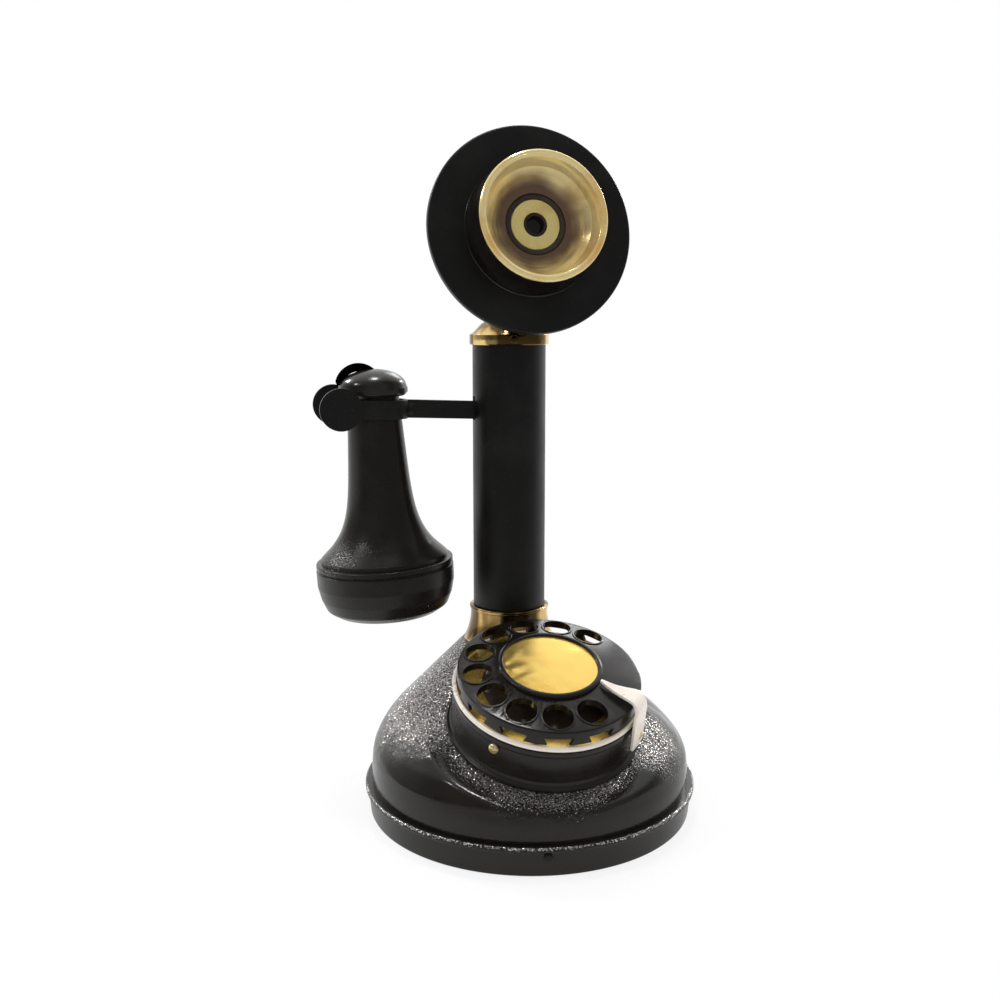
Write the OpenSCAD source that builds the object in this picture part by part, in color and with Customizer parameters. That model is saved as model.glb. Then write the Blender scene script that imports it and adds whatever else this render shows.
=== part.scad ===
// Candlestick telephone with a rotary dial in its base.
// The origin is the centre of the base's underside and +Z is up. The dial and the
// mouthpiece face -Y, and the receiver hangs on its hook on the -X side.

/* [Base] */
// Radius of the lower ring at the table
base_r = 75.8; // [74:0.1:80]
// Height of the lower ring's lip
ring_h = 14.2; // [12:0.1:17]
// How far the lip stands out from the lower ring
lip_out = 2; // [1:0.1:3]
// Wall of the lower ring
ring_t = 3; // [2.4:0.1:4]
// Wall of the base casing
shell_t = 3; // [2:0.1:3.6]
// How far the casing's side is set in from the lower ring
wall_in = 1.3; // [0.8:0.1:2]
// Height at which the casing's side starts to round over
shoulder_z = 28; // [24:0.5:30]
// Height of the pedestal's top, where the brass collar stands
neck_z = 70.5; // [69:0.5:74]
// Thickness of the felt under the base
felt_t = 1.5; // [1:0.1:2]

/* [Column] */
// Outer radius of the column tube
col_r = 17.7; // [16.5:0.1:18]
// Distance of the column's axis behind the middle of the base
col_y = 37.5; // [37:0.1:39]
// Height of the tube's top
col_top = 219.5; // [205:0.5:235]
// Wall of the column tube
tube_t = 1.5; // [1:0.1:2]
// Height of the brass collar
collar_h = 17.5; // [14:0.5:22]
// Radius of the collar's foot
collar_foot_r = 22.6; // [21.5:0.1:23]
// Width of the collar's lip outside the tube
collar_lip = 1.2; // [0.8:0.1:2]

/* [Dial] */
// How far the finger wheel's edge is set in from the dial cup
wheel_in = 1.4; // [1.3:0.1:2.2]
// Distance between the brass collar's foot and the dial cup, seen from above
dial_gap = 4.6; // [4.4:0.1:6]
// Height of the wheel's top edge on its axis
dial_z = 74; // [73:0.5:78]
// Tilt of the dial towards the user, in degrees
dial_tilt = 19.5; // [17:0.5:21]
// Radius of a finger hole
finger_r = 6.6; // [5.5:0.1:6.8]
// Distance of the finger holes' middles from the wheel's edge
finger_edge = 8.3; // [8.1:0.1:8.9]
// Angle between finger holes
finger_step = 27.4; // [26:0.1:28]
// Angle of the first finger hole from +X
finger_first = 41; // [35:1:45]
// Height of the wheel's skirt
skirt_h = 6.8; // [6:0.1:9]
// Thickness of the wheel's top
wheel_t = 2.6; // [2:0.1:3]
// Rise of the wheel's top from its edge to its hub
wheel_rise = 3.1; // [2:0.1:4]
// Width of the wheel's top between the finger holes and the bare centre disc
hub_margin = 5; // [3.4:0.1:6]
// Height of the bright trim ring
trim_h = 2.4; // [2:0.1:4]
// Outer radius of the dial cup
cup_r = 42.3; // [42.2:0.1:42.6]
// Height of the dial cup under the trim ring
cup_h = 20.2; // [18:0.1:21]
// Wall of the dial cup
cup_t = 2.5; // [2:0.1:3]
// Angle of the finger stop from +X
stop_angle = -41; // [-48:1:-38]
// Angle of the cup's screw from +X
cup_screw_angle = -137; // [-145:1:-130]

/* [Mechanism] */
// Teeth of the main gear
main_teeth = 48; // [44:4:52]
// Teeth of the governor pinion
pinion_teeth = 12; // [10:1:13]
// Module of both gears
gear_module = 0.8; // [0.7:0.01:0.82]
// Angle of the governor from +X
governor_angle = 200; // [190:1:215]
// Running clearance of a shaft in its bore, on the radius
run_gap = 0.05; // [0.02:0.01:0.08]
// Clearance between loose or screwed pieces
fit_gap = 0.3; // [0.2:0.05:0.4]

// Width of the ledge in the cup that carries the mechanism's frame
frame_ledge = 1; // [0.8:0.1:2]

/* [Inside] */
// Radius of the ballast
ballast_r = 58; // [50:0.5:62]
// Radius of the hole in the ballast
ballast_hole_r = 24; // [20:0.5:30]
// Height of the ballast
ballast_h = 6; // [4:0.1:6]
// Length of the circuit board
board_l = 60; // [50:0.5:66]
// Width of the circuit board
board_w = 44; // [36:0.5:46]
// Radius of the ringer
ringer_r = 12; // [9:0.1:13]
// Height of the ringer
ringer_h = 7; // [5:0.1:8]
// Radius of the microphone's body
mic_r = 18; // [14:0.1:19]
// Radius of the microphone's front
mic_front_r = 13; // [12:0.1:13.2]
// Height of the plates that carry the hook's pin
bracket_h = 24; // [20:0.5:26]

/* [Transmitter] */
// Radius of the face plate
face_r = 46.5; // [44:0.1:50]
// Height of the middle of the face plate
face_z = 267.3; // [264:0.1:280]
// Distance of the face plate in front of the column's axis
face_out = 38.3; // [36:0.1:42]
// Upward tilt of the mouthpiece at rest, in degrees
face_tilt = 11; // [5:0.5:15]
// Thickness of the face plate
face_t = 4; // [3:0.1:5]
// Length of the mouthpiece from the face plate to its rim
mouth_l = 21.5; // [20:0.5:30]
// Radius of the mouthpiece's rim
mouth_r = 28.4; // [27:0.1:30]
// Radius of the mouthpiece where it meets the face plate
mouth_root_r = 29.8; // [29:0.1:33]
// Height of the tilt pivot
pivot_z = 238; // [236:0.5:242]
// Radius of the tilt bolt
bolt_r = 3; // [2.5:0.1:3.5]

/* [Hook] */
// Height of the middle of the hook's arm
hook_z = 184.1; // [170:0.1:188]
// Height of the hook's arm and prongs
hook_h = 8.6; // [6:0.1:9]
// Thickness of the arm
arm_t = 3; // [2:0.1:3.2]
// Distance of the receiver's axis from the column's axis
hook_x = 66.5; // [62:0.1:72]
// Free half width between the prongs
prong_gap = 14.3; // [14:0.1:14.6]
// Thickness of a prong
prong_t = 2.2; // [1.8:0.1:2.6]
// Radius of the round ends of the prongs
paddle_r = 9.7; // [9:0.1:11]
// Distance from the receiver's axis to the middle of the round ends
paddle_x = 16.8; // [16.5:0.1:20]
// Upward slope of the hook when it is down, in degrees
hook_slope = 2.2; // [0:0.1:3]
// Upward travel of the hook, in degrees
hook_lift = 5; // [3:0.5:6]

/* [Receiver] */
// Radius of the receiver's neck at the hook
neck_r = 12.1; // [11.5:0.1:13]
// Radius of the receiver's top cap
cap_r = 16.5; // [16:0.1:16.6]
// Height of the top cap
cap_h = 12.9; // [11:0.1:15]
// Length of the receiver's body below the top cap
body_l = 81; // [76:0.5:88]
// Radius of the ear cap
ear_r = 32.8; // [30:0.1:34]
// Height of the ear cap
ear_h = 22.9; // [18:0.1:25]
// Lean of the hanging receiver, in degrees
lean = 3; // [0:0.5:4]

/* [Hidden] */
$fn = 96;

// Colours of the finishes
black_gloss = [0.05, 0.05, 0.05];
black_satin = [0.09, 0.08, 0.08];
brass = [0.80, 0.62, 0.28];
silver = [0.80, 0.80, 0.78];
gold = [0.90, 0.72, 0.35];
steel = [0.55, 0.56, 0.58];
board_green = [0.10, 0.32, 0.16];

// Base
wall_r = base_r - wall_in;
ring_in_r = base_r - ring_t - 1.4;
spigot_r = ring_in_r - fit_gap;
spigot_h = 8;
plate_z = felt_t;
plate_t = 1.6;
neck_top_r = collar_foot_r + 0.6;
ring_screw_angles = [-100, 20, 140];
ring_screw_z = ring_h - 4.8;
grommet_angles = [78, 102];
grommet_z = 21;
grommet_r = 4;

// Dial, measured along its axis from the plane of the wheel's edge
dial_y = col_y - collar_foot_r - cup_r - dial_gap;
wheel_r = cup_r - wheel_in;
finger_ring_r = wheel_r - finger_edge;
centre_r = finger_ring_r - finger_r - hub_margin;
seat_h = -(skirt_h + 0.4 + trim_h + 0.2 + cup_h);
trim_top = -(skirt_h + 0.4);
cup_top = trim_top - trim_h - 0.2;
flange_r = cup_r + 1.7;
flange_t = 2;
pocket_r = flange_r + 0.3;
cup_in_r = cup_r - cup_t;
plate_top = trim_top - 1;
number_t = 0.8;
number_r = cup_r - 1.7;
trim_in_r = number_r + 0.2;
number_in_r = cup_in_r - 10.3;
frame_top = plate_top - 7.6;
frame_t = 2;
shaft_r = 3;
gear_t = 2.6;
gear_top = frame_top - frame_t - 0.8;
gear_dist = gear_module * (main_teeth + pinion_teeth) / 2 + 0.15;
spindle_r = 1.5;
weight_h = 3.6;
governor_r = 8.6;
hub_flat_r = centre_r + 2.4;
hub_ring_t = 1.9;

// Column, hook and transmitter
collar_z = neck_z;
tube_in_r = col_r - tube_t;
tube_bottom = neck_z - 6.5;
head_r = col_r + 1.5;
head_z = col_top - 3.4;
band_h = 5.2;
dome_h = 5.6;
ear_x = 4.3;
clevis_t = 4;
clevis_r = 7;
hinge_x = 6;
hook_pin_r = 1.5;
cheek_gap = 0.5;
cheek_t = 1.3;
root_x = hook_x - prong_gap - prong_t;
splay = cap_r + 0.6 - prong_gap;

// Receiver, measured along its own axis from the top cap's lip
lip_h = hook_h / 2 + fit_gap
    + sqrt(cap_r * cap_r - prong_gap * prong_gap) * sin(lean + hook_slope);
skirt_r = ear_r - 2.6;

// Points of an arc, as [x, y] pairs
function arc(cx, cy, r, a0, a1, n = 8) =
    [for (i = [0:n]) let (a = a0 + (a1 - a0) * i / n) [cx + r * cos(a), cy + r * sin(a)]];

// Places the children on the dial: z along its axis, x across, y up the slope
module on_dial() {
    translate([0, dial_y, dial_z]) rotate([dial_tilt, 0, 0]) children();
}

// Places the children on the transmitter: z out of the mouthpiece, from the face
module on_face() {
    translate([0, col_y - face_out, face_z]) rotate([90 - face_tilt, 0, 0]) children();
}

// Places the children on the receiver: z up its axis, from the top cap's lip
module on_receiver() {
    on_hook() translate([-hook_x, 0, lip_h]) rotate([0, -hook_slope - lean, 0]) children();
}

// Places the children on the hook: x and z from the column's axis, sloped at the hinge
module on_hook() {
    translate([hinge_x, col_y, hook_z]) rotate([0, hook_slope, 0]) translate([-hinge_x, 0, 0])
        children();
}

// Places the children at the governor, on the dial
module at_governor() {
    on_dial() rotate(governor_angle) translate([gear_dist, 0, 0]) children();
}

module disc(r, h, z) {
    translate([0, 0, z]) cylinder(r = r, h = h);
}

module tube(r_out, r_in, h, z) {
    translate([0, 0, z]) difference() {
        cylinder(r = r_out, h = h);
        translate([0, 0, -1]) cylinder(r = r_in, h = h + 2);
    }
}

// Domed screw head with its shank, along +z from the face that it bears on
module screw(head_r, head_h, shank_r, shank_l) {
    rotate_extrude($fn = 32) polygon(concat(
        [[0, -shank_l], [shank_r, -shank_l], [shank_r, 0], [head_r, 0]],
        [for (i = [0:5]) [head_r * cos(15 * i), head_h * (0.35 + 0.65 * sin(15 * i))]],
        [[0, head_h]]));
}

// ---- Base ----

module felt_pad() {
    color([0.12, 0.20, 0.14]) cylinder(r = spigot_r - 1, h = felt_t);
}

module base_plate() {
    color(steel) disc(spigot_r, plate_t, plate_z);
}

module base_ring() {
    lip_r = base_r + lip_out;
    color(black_satin) difference() {
        rotate_extrude() polygon(concat(
            [[ring_in_r, 0.6], [base_r - 1.6, 0.6]],
            arc(base_r - 1.2, 1.8, 1.2, -90, 0, 4),
            [[base_r + 0.5, ring_h - 2.6], [lip_r - 0.4, ring_h - 1.9]],
            arc(lip_r - 0.7, ring_h - 0.9, 0.7, -30, 90, 5),
            [[wall_r - 0.8, ring_h], [ring_in_r, ring_h]]));
        for (a = ring_screw_angles) rotate(a) translate([0, 0, ring_screw_z])
            rotate([0, 90, 0]) cylinder(r = 1.6, h = base_r + 9, $fn = 32);
    }
}

module base_ring_screws() {
    color(steel) for (a = ring_screw_angles) rotate(a)
        translate([base_r + 0.6, 0, ring_screw_z]) rotate([0, 90, 0])
            screw(2.1, 1, 1.5, ring_t + 3.4);
}

// Casing's outside: a cone of circles that move back towards the pedestal, joined with
// the round dome that carries the dial. inset is the wall's thickness for the inside.
module casing_body(inset) {
    cone = [  // height above the shoulder, set-in of the radius, distance moved back
        [-6, 0, 0], [0, 0.5, 0.5], [4, 1.8, 2.5], [8, 4.6, 5.5], [12, 8.2, 9], [16.5, 13.5, 13]];
    dome = [  // the same, moved forward
        [-6, 1.6, 1.5], [1, 2.2, 1.5], [7, 5.2, 1.5], [13, 11.5, 1.5], [18.7, 20, 3]];
    hull() {
        for (l = cone) translate([0, l[2], shoulder_z + l[0] - inset * 0.8])
            cylinder(r = wall_r - l[1] - inset, h = 0.05, $fn = 72);
        translate([0, col_y, neck_z - inset - 0.05])
            cylinder(r = neck_top_r - inset, h = 0.05, $fn = 48);
    }
    hull() for (l = dome) translate([0, -l[2], shoulder_z + l[0] - inset * 0.8])
        cylinder(r = wall_r - l[1] - inset, h = 0.05, $fn = 72);
}

// Space in front of and above the dial's seat. grow widens and deepens it.
module seat_space(grow) {
    on_dial() hull() for (s = [0, 1]) {
        z = s == 0 ? seat_h - grow : seat_h + 34;
        r = pocket_r + grow + 11.1 * s;
        translate([0, -14 * s, 0]) disc(r, 0.05, z);
        translate([0, -8 - 14 * s, 0]) disc(r + 4.7, 0.05, z);
        translate([0, -80, z]) cylinder(r = r + 47.1, h = 0.05);
    }
}

module base_shell() {
    color(black_gloss) difference() {
        union() {
            casing_body(0);
            disc(wall_r, shoulder_z - 6 - ring_h, ring_h);
            disc(spigot_r, spigot_h + 0.1, ring_h - spigot_h);
        }
        difference() {
            union() {
                casing_body(shell_t);
                disc(spigot_r - shell_t, shoulder_z - 6, ring_h - spigot_h - 1);
            }
            seat_space(shell_t);
        }
        seat_space(0);
        on_dial() disc(cup_in_r - 2, 40, seat_h - 20);
        translate([0, col_y, tube_bottom - 8]) cylinder(r = col_r + 0.1, h = 40);
        for (a = ring_screw_angles) rotate(a) translate([0, 0, ring_screw_z])
            rotate([0, 90, 0]) cylinder(r = 1.55, h = base_r, $fn = 32);
        for (a = grommet_angles) rotate(a) translate([wall_r - 12, 0, grommet_z])
            rotate([0, 90, 0]) cylinder(r = grommet_r, h = 20, $fn = 48);
    }
}

module ballast_weight() {
    color(steel) translate([0, 0, plate_z + plate_t]) difference() {
        cylinder(r = ballast_r, h = ballast_h);
        translate([0, 6, -1]) cylinder(r = ballast_hole_r, h = ballast_h + 2);
    }
}

module circuit_board() {
    board_z = plate_z + plate_t + ballast_h;
    color(board_green) translate([-board_l / 2, 4 - board_w / 2, board_z + 2])
        cube([board_l, board_w, 1.6]);
    color(steel) for (x = [-1, 1] * (board_l / 2 - 4), y = [-1, 1] * (board_w / 2 - 4))
        translate([x, 4 + y, board_z])
        cylinder(r = 2.5, h = 2, $fn = 32);
}

module ringer_capsule() {
    color(black_satin) translate([14, 8, plate_z + plate_t + ballast_h + 3.6]) difference() {
        cylinder(r = ringer_r, h = ringer_h);
        translate([0, 0, ringer_h - 2]) cylinder(r = 2, h = 3, $fn = 32);
    }
}

module cord_grommets() {
    color(black_satin) for (a = grommet_angles) rotate(a)
        translate([wall_r - 12, 0, grommet_z]) rotate([0, 90, 0]) rotate_extrude($fn = 48)
            polygon([[2, 7], [grommet_r - 0.1, 7], [grommet_r - 0.1, 12.3],
                [grommet_r + 1.4, 12.6], [grommet_r + 1.2, 14], [3, 15], [2, 15]]);
}

// ---- Column ----

module column_tube() {
    slot_top = hook_h / 2 + (hinge_x + col_r) * sin(hook_slope + hook_lift) + 0.6;
    slot_low = hook_h / 2 + 0.5 - (hinge_x + tube_in_r - 2) * sin(hook_slope);
    color(black_satin) translate([0, col_y, 0]) difference() {
        tube(col_r, tube_in_r, col_top - tube_bottom, tube_bottom);
        translate([-col_r - 1, -arm_t / 2 - 0.5, hook_z - slot_low])
            cube([tube_t + 4, arm_t + 1, slot_low + slot_top]);
    }
}

module column_clamp() {
    color(steel) difference() {
        translate([0, col_y, 0]) tube(col_r + 1.7, col_r + 0.1, 3, neck_z - shell_t - 3.6);
        seat_space(shell_t + 0.5);
    }
}

module column_collar() {
    color(brass) translate([0, col_y, collar_z]) rotate_extrude() polygon(concat(
        [[col_r + 0.1, 0], [collar_foot_r, 0], [collar_foot_r, 0.8]],
        [for (i = [0:8]) let (t = i / 8) [
            col_r + collar_lip + 0.2 + (collar_foot_r - col_r - collar_lip - 0.5) * pow(1 - t, 2.2),
            1 + (collar_h - 3) * t]],
        [[col_r + collar_lip + 0.7, collar_h - 1.4], [col_r + collar_lip + 0.7, collar_h - 0.6],
            [col_r + collar_lip, collar_h], [col_r + 0.1, collar_h]]));
}

module column_head() {
    color(brass) translate([0, col_y, head_z]) difference() {
        union() {
            rotate_extrude() polygon([[0, 0], [head_r - 0.5, 0], [head_r, 0.5],
                [head_r, band_h - 0.5], [head_r - 0.5, band_h], [head_r - 1.2, band_h],
                [head_r - dome_h, band_h + dome_h - 1], [head_r - dome_h - 1.4, band_h + dome_h],
                [0, band_h + dome_h]]);
            intersection() {
                union() {
                    translate([-ear_x - clevis_t, -clevis_r, band_h])
                        cube([2 * (ear_x + clevis_t), 2 * clevis_r, pivot_z - head_z - band_h]);
                    translate([-ear_x - clevis_t, 0, pivot_z - head_z]) rotate([0, 90, 0])
                        cylinder(r = clevis_r, h = 2 * (ear_x + clevis_t));
                }
                cylinder(r = head_r - 1, h = 60);
            }
        }
        translate([0, 0, -1]) cylinder(r = col_r + 0.1, h = col_top - head_z + 1.1);
        translate([-ear_x, -head_r, pivot_z - head_z - clevis_r - 1.2])
            cube([2 * ear_x, 2 * head_r, 40]);
        translate([-30, 0, pivot_z - head_z]) rotate([0, 90, 0])
            cylinder(r = bolt_r + 0.05, h = 60);
        rotate(-98) translate([0, 0, band_h / 2]) rotate([0, 90, 0])
            cylinder(r = 1.6, h = head_r + 5, $fn = 32);
    }
}

module head_screw() {
    color(brass) translate([0, col_y, head_z + band_h / 2]) rotate(-98)
        translate([head_r + 0.02, 0, 0]) rotate([0, 90, 0]) screw(2.1, 1.1, 1.5, 1.2);
}

module tilt_bolt() {
    head_x = ear_x + clevis_t + 0.1;
    color(brass) translate([0, col_y, pivot_z]) rotate([0, 90, 0]) {
        disc(bolt_r, 2 * head_x + 2, -head_x - 1);
        translate([0, 0, head_x]) cylinder(r1 = 5, r2 = 4, h = 3.4);
        translate([0, 0, -head_x - 4]) cylinder(r = 5.6, h = 4, $fn = 6);
    }
}

module switch_bracket() {
    cheek_y = arm_t / 2 + cheek_gap;
    back_x = 11.5;
    color(steel) translate([0, col_y, hook_z]) difference() {
        union() {
            for (side = [-1, 1]) translate([0, side * (cheek_y + cheek_t / 2), 0])
                translate([-1, -cheek_t / 2, 9 - bracket_h]) cube([back_x + 2, cheek_t, bracket_h]);
            intersection() {
                translate([back_x, -7, 9 - bracket_h]) cube([6, 14, bracket_h]);
                translate([0, 0, -20]) cylinder(r = tube_in_r - 0.1, h = 50);
            }
            translate([-1, -cheek_y - 0.1, 9 - bracket_h])
                cube([back_x + 2, 2 * cheek_y + 0.2, 2]);
        }
        translate([hinge_x, 0, 0]) rotate([90, 0, 0])
            cylinder(r = hook_pin_r + 0.02, h = 40, center = true, $fn = 48);
    }
}

module hook_pin() {
    pin_l = arm_t + 2 * cheek_gap + 2 * cheek_t + 1.2;
    color(steel) translate([hinge_x, col_y, hook_z]) rotate([90, 0, 0])
        cylinder(r = hook_pin_r, h = pin_l, center = true, $fn = 48);
}

module hook_contacts() {
    color([0.45, 0.28, 0.14]) translate([1, col_y - arm_t / 2, hook_z - 13])
        cube([8.5, arm_t, 3]);
    color(brass) for (x = [2, 4.5, 7]) translate([x, col_y - 1, hook_z - 10])
        cube([0.4, 2, 10 - hook_h / 2 - 0.6 - (x > 6 ? 0 : 1)]);
}

// ---- Dial, fixed pieces ----

module dial_cup() {
    color(black_gloss) on_dial() difference() {
        rotate_extrude() polygon(concat(
            [[cup_in_r, cup_top], [cup_in_r, seat_h], [flange_r - 0.8, seat_h]],
            arc(flange_r - 0.8, seat_h + 0.8, 0.8, -60, 60, 4),
            [[flange_r - 0.8, seat_h + flange_t - 0.3], [cup_r + 0.1, seat_h + flange_t + 0.4],
                [cup_r - 0.2, seat_h + flange_t + 1.6], [cup_r - 0.4, cup_top - 3],
                [cup_r, cup_top - 2.4], [cup_r, cup_top - 0.4], [cup_r - 0.4, cup_top]]));
        for (a = [stop_angle, cup_screw_angle]) rotate(a)
            translate([0, 0, cup_screw_h()]) rotate([0, 90, 0])
                cylinder(r = 1.6, h = cup_r + 5, $fn = 32);
    }
    color(black_gloss) on_dial() {
        tube(cup_in_r + 0.1, cup_in_r - frame_ledge, 1.5, frame_top - frame_t - 1.6);
    }
}

function cup_screw_h() = cup_top - 5;

module dial_cup_screw() {
    color(brass) on_dial() rotate(cup_screw_angle) translate([cup_r, 0, cup_screw_h()])
        rotate([0, 90, 0]) screw(2.3, 2, 1.5, cup_t);
}

module trim_ring() {
    color(silver) on_dial() rotate_extrude() polygon(concat(
        [[trim_in_r, trim_top - trim_h], [trim_in_r, trim_top]],
        [[cup_r - 0.6, trim_top]],
        arc(cup_r - 1.3, trim_top - trim_h / 2, trim_h / 2, 60, -60, 6),
        [[cup_r - 0.6, trim_top - trim_h]]));
}

module number_plate() {
    color(gold) on_dial() {
        tube(number_r, number_in_r, number_t, plate_top - number_t);
        tube(number_r, number_r - 0.8, plate_top - cup_top - 0.05, cup_top + 0.02);
    }
}

module spring_cover() {
    color(black_satin) on_dial() {
        tube(number_in_r - 0.2, shaft_r + 4, number_t, plate_top - number_t);
        tube(13.4, 12.6, plate_top - frame_top - 0.1, frame_top + 0.02);
        for (i = [0:9]) rotate(finger_first + i * finger_step)
            translate([number_in_r - 2, 0, plate_top - 0.1]) cylinder(r = 1, h = 0.7, $fn = 24);
    }
}

module finger_stop() {
    leg_in = cup_r + 0.45;
    leg_t = 1.5;
    half = 7.6;
    color(silver) on_dial() rotate(stop_angle) difference() {
        union() {
            rotate(-half) rotate_extrude(angle = 2 * half)
                translate([leg_in, cup_screw_h() - 4.5]) square([leg_t, 5.5 - cup_screw_h() + 1]);
            rotate(-half) rotate_extrude(angle = 2 * half)
                translate([cup_r + 0.15, cup_screw_h() - 4.5]) square([0.4, 7]);
            hull() {
                translate([leg_in + leg_t - 2.6, -5.4, 0.9]) cube([2.5, 10.8, 1.4]);
                translate([leg_in + leg_t - 0.5, -5, 0.9]) cube([0.4, 10, 1.2]);
                rotate(2) translate([hub_flat_r + 0.5, -0.9, wheel_rise + 0.8])
                    cube([1.5, 1.8, 1]);
            }
        }
        translate([0, 0, cup_screw_h()]) rotate([0, 90, 0])
            cylinder(r = 1.6, h = cup_r + 5, $fn = 32);
    }
}

module stop_screw() {
    color(brass) on_dial() rotate(stop_angle) translate([cup_r + 1.97, 0, cup_screw_h()])
        rotate([0, 90, 0]) screw(2.3, 1.8, 1.5, cup_t + 1.97);
}

// ---- Dial mechanism ----

// Outline of a spur gear with straight-sided teeth and backlash
module gear_outline(teeth) {
    pitch_r = gear_module * teeth / 2;
    tip_r = pitch_r + 0.9 * gear_module;
    root_r = pitch_r - 1.15 * gear_module;
    step = 360 / teeth;
    polygon([for (i = [0:teeth - 1], k = [0:3])
        let (a = i * step + step * [-0.3, -0.1, 0.1, 0.3][k], r = (k == 0 || k == 3) ? root_r : tip_r)
        [r * cos(a), r * sin(a)]]);
}

module dial_frame() {
    color(steel) on_dial() difference() {
        disc(cup_in_r - 0.2, frame_t, frame_top - frame_t);
        disc(shaft_r + run_gap, 30, frame_top - 20);
        rotate(governor_angle) translate([gear_dist, 0, 0])
            disc(spindle_r + run_gap, 30, frame_top - 20);
    }
}

module governor_cup() {
    color(brass) at_governor() tube(governor_r + 1.6, governor_r + 0.4, weight_h + 0.3, frame_top);
}

module return_spring() {
    turns = 3;
    inner_r = shaft_r + 0.7;
    grow = 2.2;
    strip = 0.35;
    n = 20 * turns;
    edge = function (side) [for (i = [0:n]) let (a = 360 * turns * i / n,
        r = inner_r + grow * a / 360 + side) [r * cos(a), r * sin(a)]];
    outer = edge(strip / 2);
    inner = edge(-strip / 2);
    color(steel) on_dial() translate([0, 0, frame_top]) {
        linear_extrude(height = 2.6) polygon(concat(outer, [for (i = [n:-1:0]) inner[i]]));
        translate([inner_r + grow * turns + 0.1, -1, 0]) cube([1.6, 2, 4]);
    }
}

module pulse_contacts() {
    block_h = 9;
    gap_r = 5.4;
    at_governor() {
        color([0.45, 0.28, 0.14]) translate([gap_r - 0.6, 8, frame_top - frame_t - block_h])
            cube([3.6, 3, block_h]);
        color(brass) for (x = [gap_r, gap_r + 2]) translate([x, -5, frame_top - frame_t - block_h + 1])
            cube([0.4, 13.5, 2.4]);
    }
}

module dial_shaft() {
    color(steel) on_dial() {
        disc(shaft_r, wheel_rise - 1.6 - gear_top + gear_t + 1.4, gear_top - gear_t - 1.4);
        disc(5, 1.2, gear_top - gear_t - 1.3);
    }
}

module main_gear() {
    color(brass) on_dial() rotate(governor_angle) translate([0, 0, gear_top - gear_t])
        linear_extrude(height = gear_t) difference() {
            gear_outline(main_teeth);
            circle(r = shaft_r + 0.02);
            for (i = [0:4]) rotate(36 + 72 * i) translate([11, 0]) circle(r = 3.6, $fn = 48);
        }
}

module governor_spindle() {
    cam_z = gear_top - gear_t - 3.6;
    color(steel) at_governor() {
        disc(spindle_r, frame_top + weight_h + 1 - cam_z, cam_z);
        rotate(180 / pinion_teeth) translate([0, 0, gear_top - gear_t])
            linear_extrude(height = gear_t) gear_outline(pinion_teeth);
        translate([0, 0, cam_z]) linear_extrude(height = 2.4) {
            circle(r = 2.4);
            for (i = [0:2]) rotate(120 * i) polygon([[0, -2.3], [3.4, -0.8], [3.4, 0.8], [0, 2.3]]);
        }
    }
}

module governor_weights() {
    color(brass) at_governor() for (side = [0, 180]) rotate(side)
        intersection() {
            tube(governor_r, spindle_r + 0.05, weight_h, frame_top + 0.3);
            translate([0.4, -governor_r, frame_top]) cube([governor_r, 2 * governor_r, 10]);
        }
}

// ---- Finger wheel ----

module finger_wheel() {
    window_h = 3.5;
    color(black_gloss) on_dial() difference() {
        rotate_extrude() polygon(concat(
            [[shaft_r + 0.02, -skirt_h], [7, -skirt_h], [7, wheel_rise - 1.6 - wheel_t],
                [hub_flat_r - 1, wheel_rise - 1.6 - wheel_t], [hub_flat_r, wheel_rise - wheel_t],
                [wheel_r - 1.6, -wheel_t], [wheel_r - 1.6, -skirt_h],
                [wheel_r - 0.3, -skirt_h], [wheel_r, -skirt_h + 0.3]],
            arc(wheel_r - 0.8, -0.8, 0.8, 0, 80, 4),
            [[hub_flat_r, wheel_rise], [centre_r - 3, wheel_rise],
                [centre_r - 3, wheel_rise - 1.6], [shaft_r + 0.02, wheel_rise - 1.6]]));
        for (i = [0:9]) rotate(finger_first + i * finger_step) {
            translate([finger_ring_r, 0, 0]) disc(finger_r, 30, -20);
            translate([wheel_r - 3, 0, -skirt_h - 0.1]) rotate([90, 0, 90])
                linear_extrude(height = 6) polygon([[-4.6, 0], [4.6, 0],
                    [finger_r - 0.2, window_h], [-finger_r + 0.2, window_h]]);
        }
    }
}

module hub_ring() {
    color(black_gloss) on_dial() translate([0, 0, wheel_rise]) rotate_extrude() polygon([
        [centre_r + 0.1, 0], [hub_flat_r - 0.4, 0], [hub_flat_r - 0.5, hub_ring_t - 0.5],
        [hub_flat_r - 1, hub_ring_t], [centre_r + 0.4, hub_ring_t],
        [centre_r + 0.1, hub_ring_t - 0.4]]);
}

module centre_disc() {
    color(gold) on_dial() translate([0, 0, wheel_rise]) rotate_extrude() polygon(
        [[0, 0], [centre_r, 0], [centre_r, 0.9], [centre_r - 1, 1.2],
            [centre_r / 2, 1.5], [0, 1.6]]);
}

module hub_screw() {
    color(steel) on_dial() disc(6.5, 1.3, wheel_rise - 1.6);
}

// ---- Transmitter ----

module face_plate() {
    color(black_satin) on_face() rotate_extrude() polygon(concat(
        [[mouth_r - 6, -face_t], [face_r - 1.2, -face_t]],
        arc(face_r - 1.2, -face_t + 1.2, 1.2, -90, 0, 4),
        arc(face_r - 1, -1, 1, 0, 90, 4),
        [[mouth_r - 6, 0]]));
}

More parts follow.
